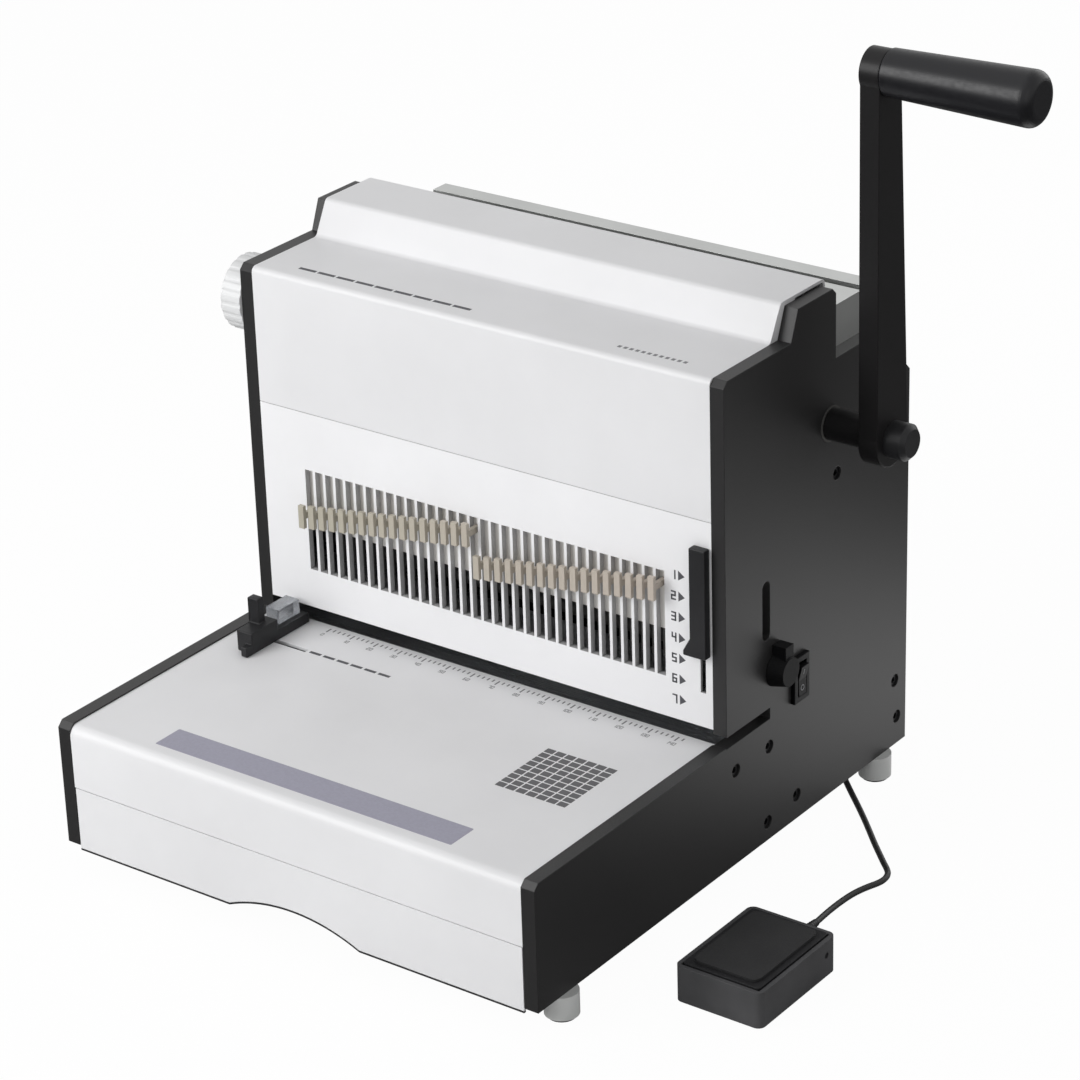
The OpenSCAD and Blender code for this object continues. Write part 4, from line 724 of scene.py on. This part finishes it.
SCALE_LOW = 129 * MM
SCALE_COUNT = 7
SCALE_PITCH = 14.3 * MM
ARROW_LEFT, ARROW_RIGHT = 153.2 * MM, 158 * MM
ARROW_HALF = 3.4 * MM
SCALE_NUMBER_X = 149.5 * MM
SCALE_NUMBER_W, SCALE_NUMBER_PEN = 2.6 * MM, 1.1 * MM


def add_print(name, outlines, origin, up, material):
    """Printed marks on a face of the machine's frame, as thin films of ink."""
    marks = bmesh.new()
    for outline in outlines:
        add_prism(marks, outline, origin, X_AXIS, up, PRINT_T)
    return add_piece(name, marks, material, "frame")


def digits(number, a, b, width, pen):
    """Outlines of a number's strokes, with its middle at a and its foot at b."""
    text = str(number)
    step = width * DIGIT_PITCH
    outlines = []
    for i, sign in enumerate(text):
        left = a + (i - (len(text) - 1) / 2) * step - width / 2
        for stroke in DIGIT_STROKES[int(sign)]:
            (a0, b0), (a1, b1) = STROKES[int(stroke)]
            outlines.append(bar(
                left + a0 * width - pen / 2, left + a1 * width + pen / 2,
                b + b0 * width - pen / 2, b + b1 * width + pen / 2,
            ))
    return outlines


def dash_row(start, length, pitch, count, near, far):
    """Outlines of a row of equal dashes, from sizes in millimetres."""
    lefts = [start + k * pitch for k in range(count)]
    return [bar(left * MM, (left + length) * MM, near * MM, far * MM) for left in lefts]


def rule_marks():
    """Outlines of the rule's ticks, with a number at each long one."""
    outlines = []
    for k in range(RULE_TICKS):
        a = RULE_START + k * TICK_PITCH
        is_long = k % LONG_TICK_EVERY == 0
        reach = LONG_TICK_LEN if is_long else TICK_LEN
        outlines.append(bar(a - TICK_HALF, a + TICK_HALF, RULE_EDGE - reach, RULE_EDGE))
        if is_long:
            outlines += digits(RULE_NUMBER_STEP * k, a, RULE_NUMBER_FOOT, RULE_NUMBER_W, RULE_NUMBER_PEN)
    return outlines


def chart_cells():
    """Outlines of the chart's cells."""
    cell_w = CHART_W / CHART_COLUMNS
    cell_depth = CHART_DEPTH / CHART_ROWS
    outlines = []
    for i in range(CHART_COLUMNS):
        for j in range(CHART_ROWS):
            a = CHART_LEFT + i * cell_w
            b = CHART_NEAR + j * cell_depth
            outlines.append(
                rounded_bar(a, a + cell_w - CELL_GAP, b, b + cell_depth - CELL_GAP, CELL_ROUND, steps=2)
            )
    return outlines


def slider_marks():
    """Outlines of the slider's scale: arrows with a number each, which count down as they rise."""
    outlines = []
    for k in range(SCALE_COUNT):
        z = SCALE_LOW + k * SCALE_PITCH
        outlines.append([(ARROW_LEFT, z - ARROW_HALF), (ARROW_RIGHT, z), (ARROW_LEFT, z + ARROW_HALF)])
        outlines += digits(
            SCALE_COUNT - k, SCALE_NUMBER_X, z - SCALE_NUMBER_W, SCALE_NUMBER_W, SCALE_NUMBER_PEN
        )
    return outlines


def add_prints():
    """The marks on the base cover, the ledge and the panel."""
    band = [rounded_bar(-BAND_HALF, BAND_HALF, BAND_NEAR, BAND_FAR, BAND_ROUND)]
    add_print("base_band", band, COVER_ORIGIN, Y_AXIS, INK_SLATE)
    add_print("base_rule", rule_marks(), COVER_ORIGIN, Y_AXIS, INK_GREY)
    add_print("base_dashes", dash_row(*BASE_DASHES_MM), COVER_ORIGIN, Y_AXIS, INK_DARK)
    add_print("base_chart", chart_cells(), COVER_ORIGIN, Y_AXIS, INK_CHART)
    add_print("ledge_marks", dash_row(*LEDGE_DASHES_MM), LEDGE_ORIGIN, Y_AXIS, INK_DARK)
    add_print("ledge_dots", dash_row(*LEDGE_DOTS_MM), LEDGE_ORIGIN, Y_AXIS, INK_GREY)
    add_print("slider_scale", slider_marks(), PANEL_ORIGIN, Z_AXIS, INK_DARK)


# Painted shadow under the drawer

RECESS_HALF = 52 * MM
RECESS_H = 11 * MM
RECESS_STEPS = 24
# Height and thickness of the dark strip that paints the shadow under the drawer's edge
SHADOW_STRIP_H = 1.4 * MM
SHADOW_STRIP_T = 1.8 * MM


def add_drawer_trim():
    """Painted shadow: a dark strip along the drawer front's lower edge, over the finger recess too, standing
    for the shade under that edge.
    """
    low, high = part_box("drawer_front")
    radius = (RECESS_HALF**2 + RECESS_H**2) / (2 * RECESS_H)
    edge = [(-high.x, 0), (-RECESS_HALF, 0)]
    for k in range(1, RECESS_STEPS):
        a = -RECESS_HALF + 2 * RECESS_HALF * k / RECESS_STEPS
        edge.append((a, math.sqrt(radius**2 - a**2) - (radius - RECESS_H)))
    edge += [(RECESS_HALF, 0), (high.x, 0)]
    shadow_strip = bmesh.new()
    origin = Vector((0, BASE_FRONT + SHADOW_STRIP_T, low.z))
    for (a0, b0), (a1, b1) in zip(edge, edge[1:]):
        outline = [(a0, b0 - SHADOW_STRIP_H), (a1, b1 - SHADOW_STRIP_H), (a1, b1), (a0, b0)]
        add_prism(shadow_strip, outline, origin, X_AXIS, Z_AXIS, SHADOW_STRIP_T)
    weld_corners(shadow_strip)
    add_piece("drawer_shadow_strip", shadow_strip, SLOT_FINISHES["pad_rubber"], "drawer")


# Rocker marks

ROCKER_PIVOT = Vector((0.184, 0.076, 0.1195))
ROCKER_TILT = math.radians(6)
# The rocker's face in millimetres from its pivot: out at the middle, out at the ends, and half its height
ROCKER_MIDDLE_MM, ROCKER_END_MM, ROCKER_HALF_MM = 7.0, 8.4, 10.6
# Place of a mark between the face's middle and its end
MARK_PLACE = 0.55
STROKE_HALF_W, STROKE_HALF_H = 0.4 * MM, 2 * MM
RING_INNER, RING_OUTER = 1.4 * MM, 2.1 * MM
RING_STEPS = 20


def rocker_face(side):
    """A place on the upper (1) or lower (-1) half of the rocker's face, and the way up along it."""
    turn = Matrix.Rotation(ROCKER_TILT, 3, "Y")
    middle = Vector((ROCKER_MIDDLE_MM, 0, 0)) * MM
    end = Vector((ROCKER_END_MM, 0, side * ROCKER_HALF_MM)) * MM
    place = ROCKER_PIVOT + turn @ middle.lerp(end, MARK_PLACE)
    return place, (turn @ (end - middle)).normalized() * side


def add_rocker_marks():
    """A stroke on the upper half of the rocker and a ring on the lower half."""
    marks = bmesh.new()
    place, up = rocker_face(1)
    stroke = bar(-STROKE_HALF_W, STROKE_HALF_W, -STROKE_HALF_H, STROKE_HALF_H)
    add_prism(marks, stroke, place, Y_AXIS, up, PRINT_T)
    place, up = rocker_face(-1)
    for k in range(RING_STEPS):
        start, end = 360 * k / RING_STEPS, 360 * (k + 1) / RING_STEPS
        outline = [
            on_circle(start, RING_INNER), on_circle(start, RING_OUTER),
            on_circle(end, RING_OUTER), on_circle(end, RING_INNER),
        ]
        add_prism(marks, outline, place, Y_AXIS, up, PRINT_T)
    weld_corners(marks)
    add_piece("rocker_marks", marks, INK_GREY, "rocker")


bpy.context.scene.view_settings.view_transform = "Standard"
add_camera()
for lamp in LAMPS:
    add_lamp(*lamp)
add_world()
add_floor()
finish_nodes()
add_pedal_cord()
add_pedal_spring()
add_prints()
add_drawer_trim()
add_rocker_marks()
soften_edges()
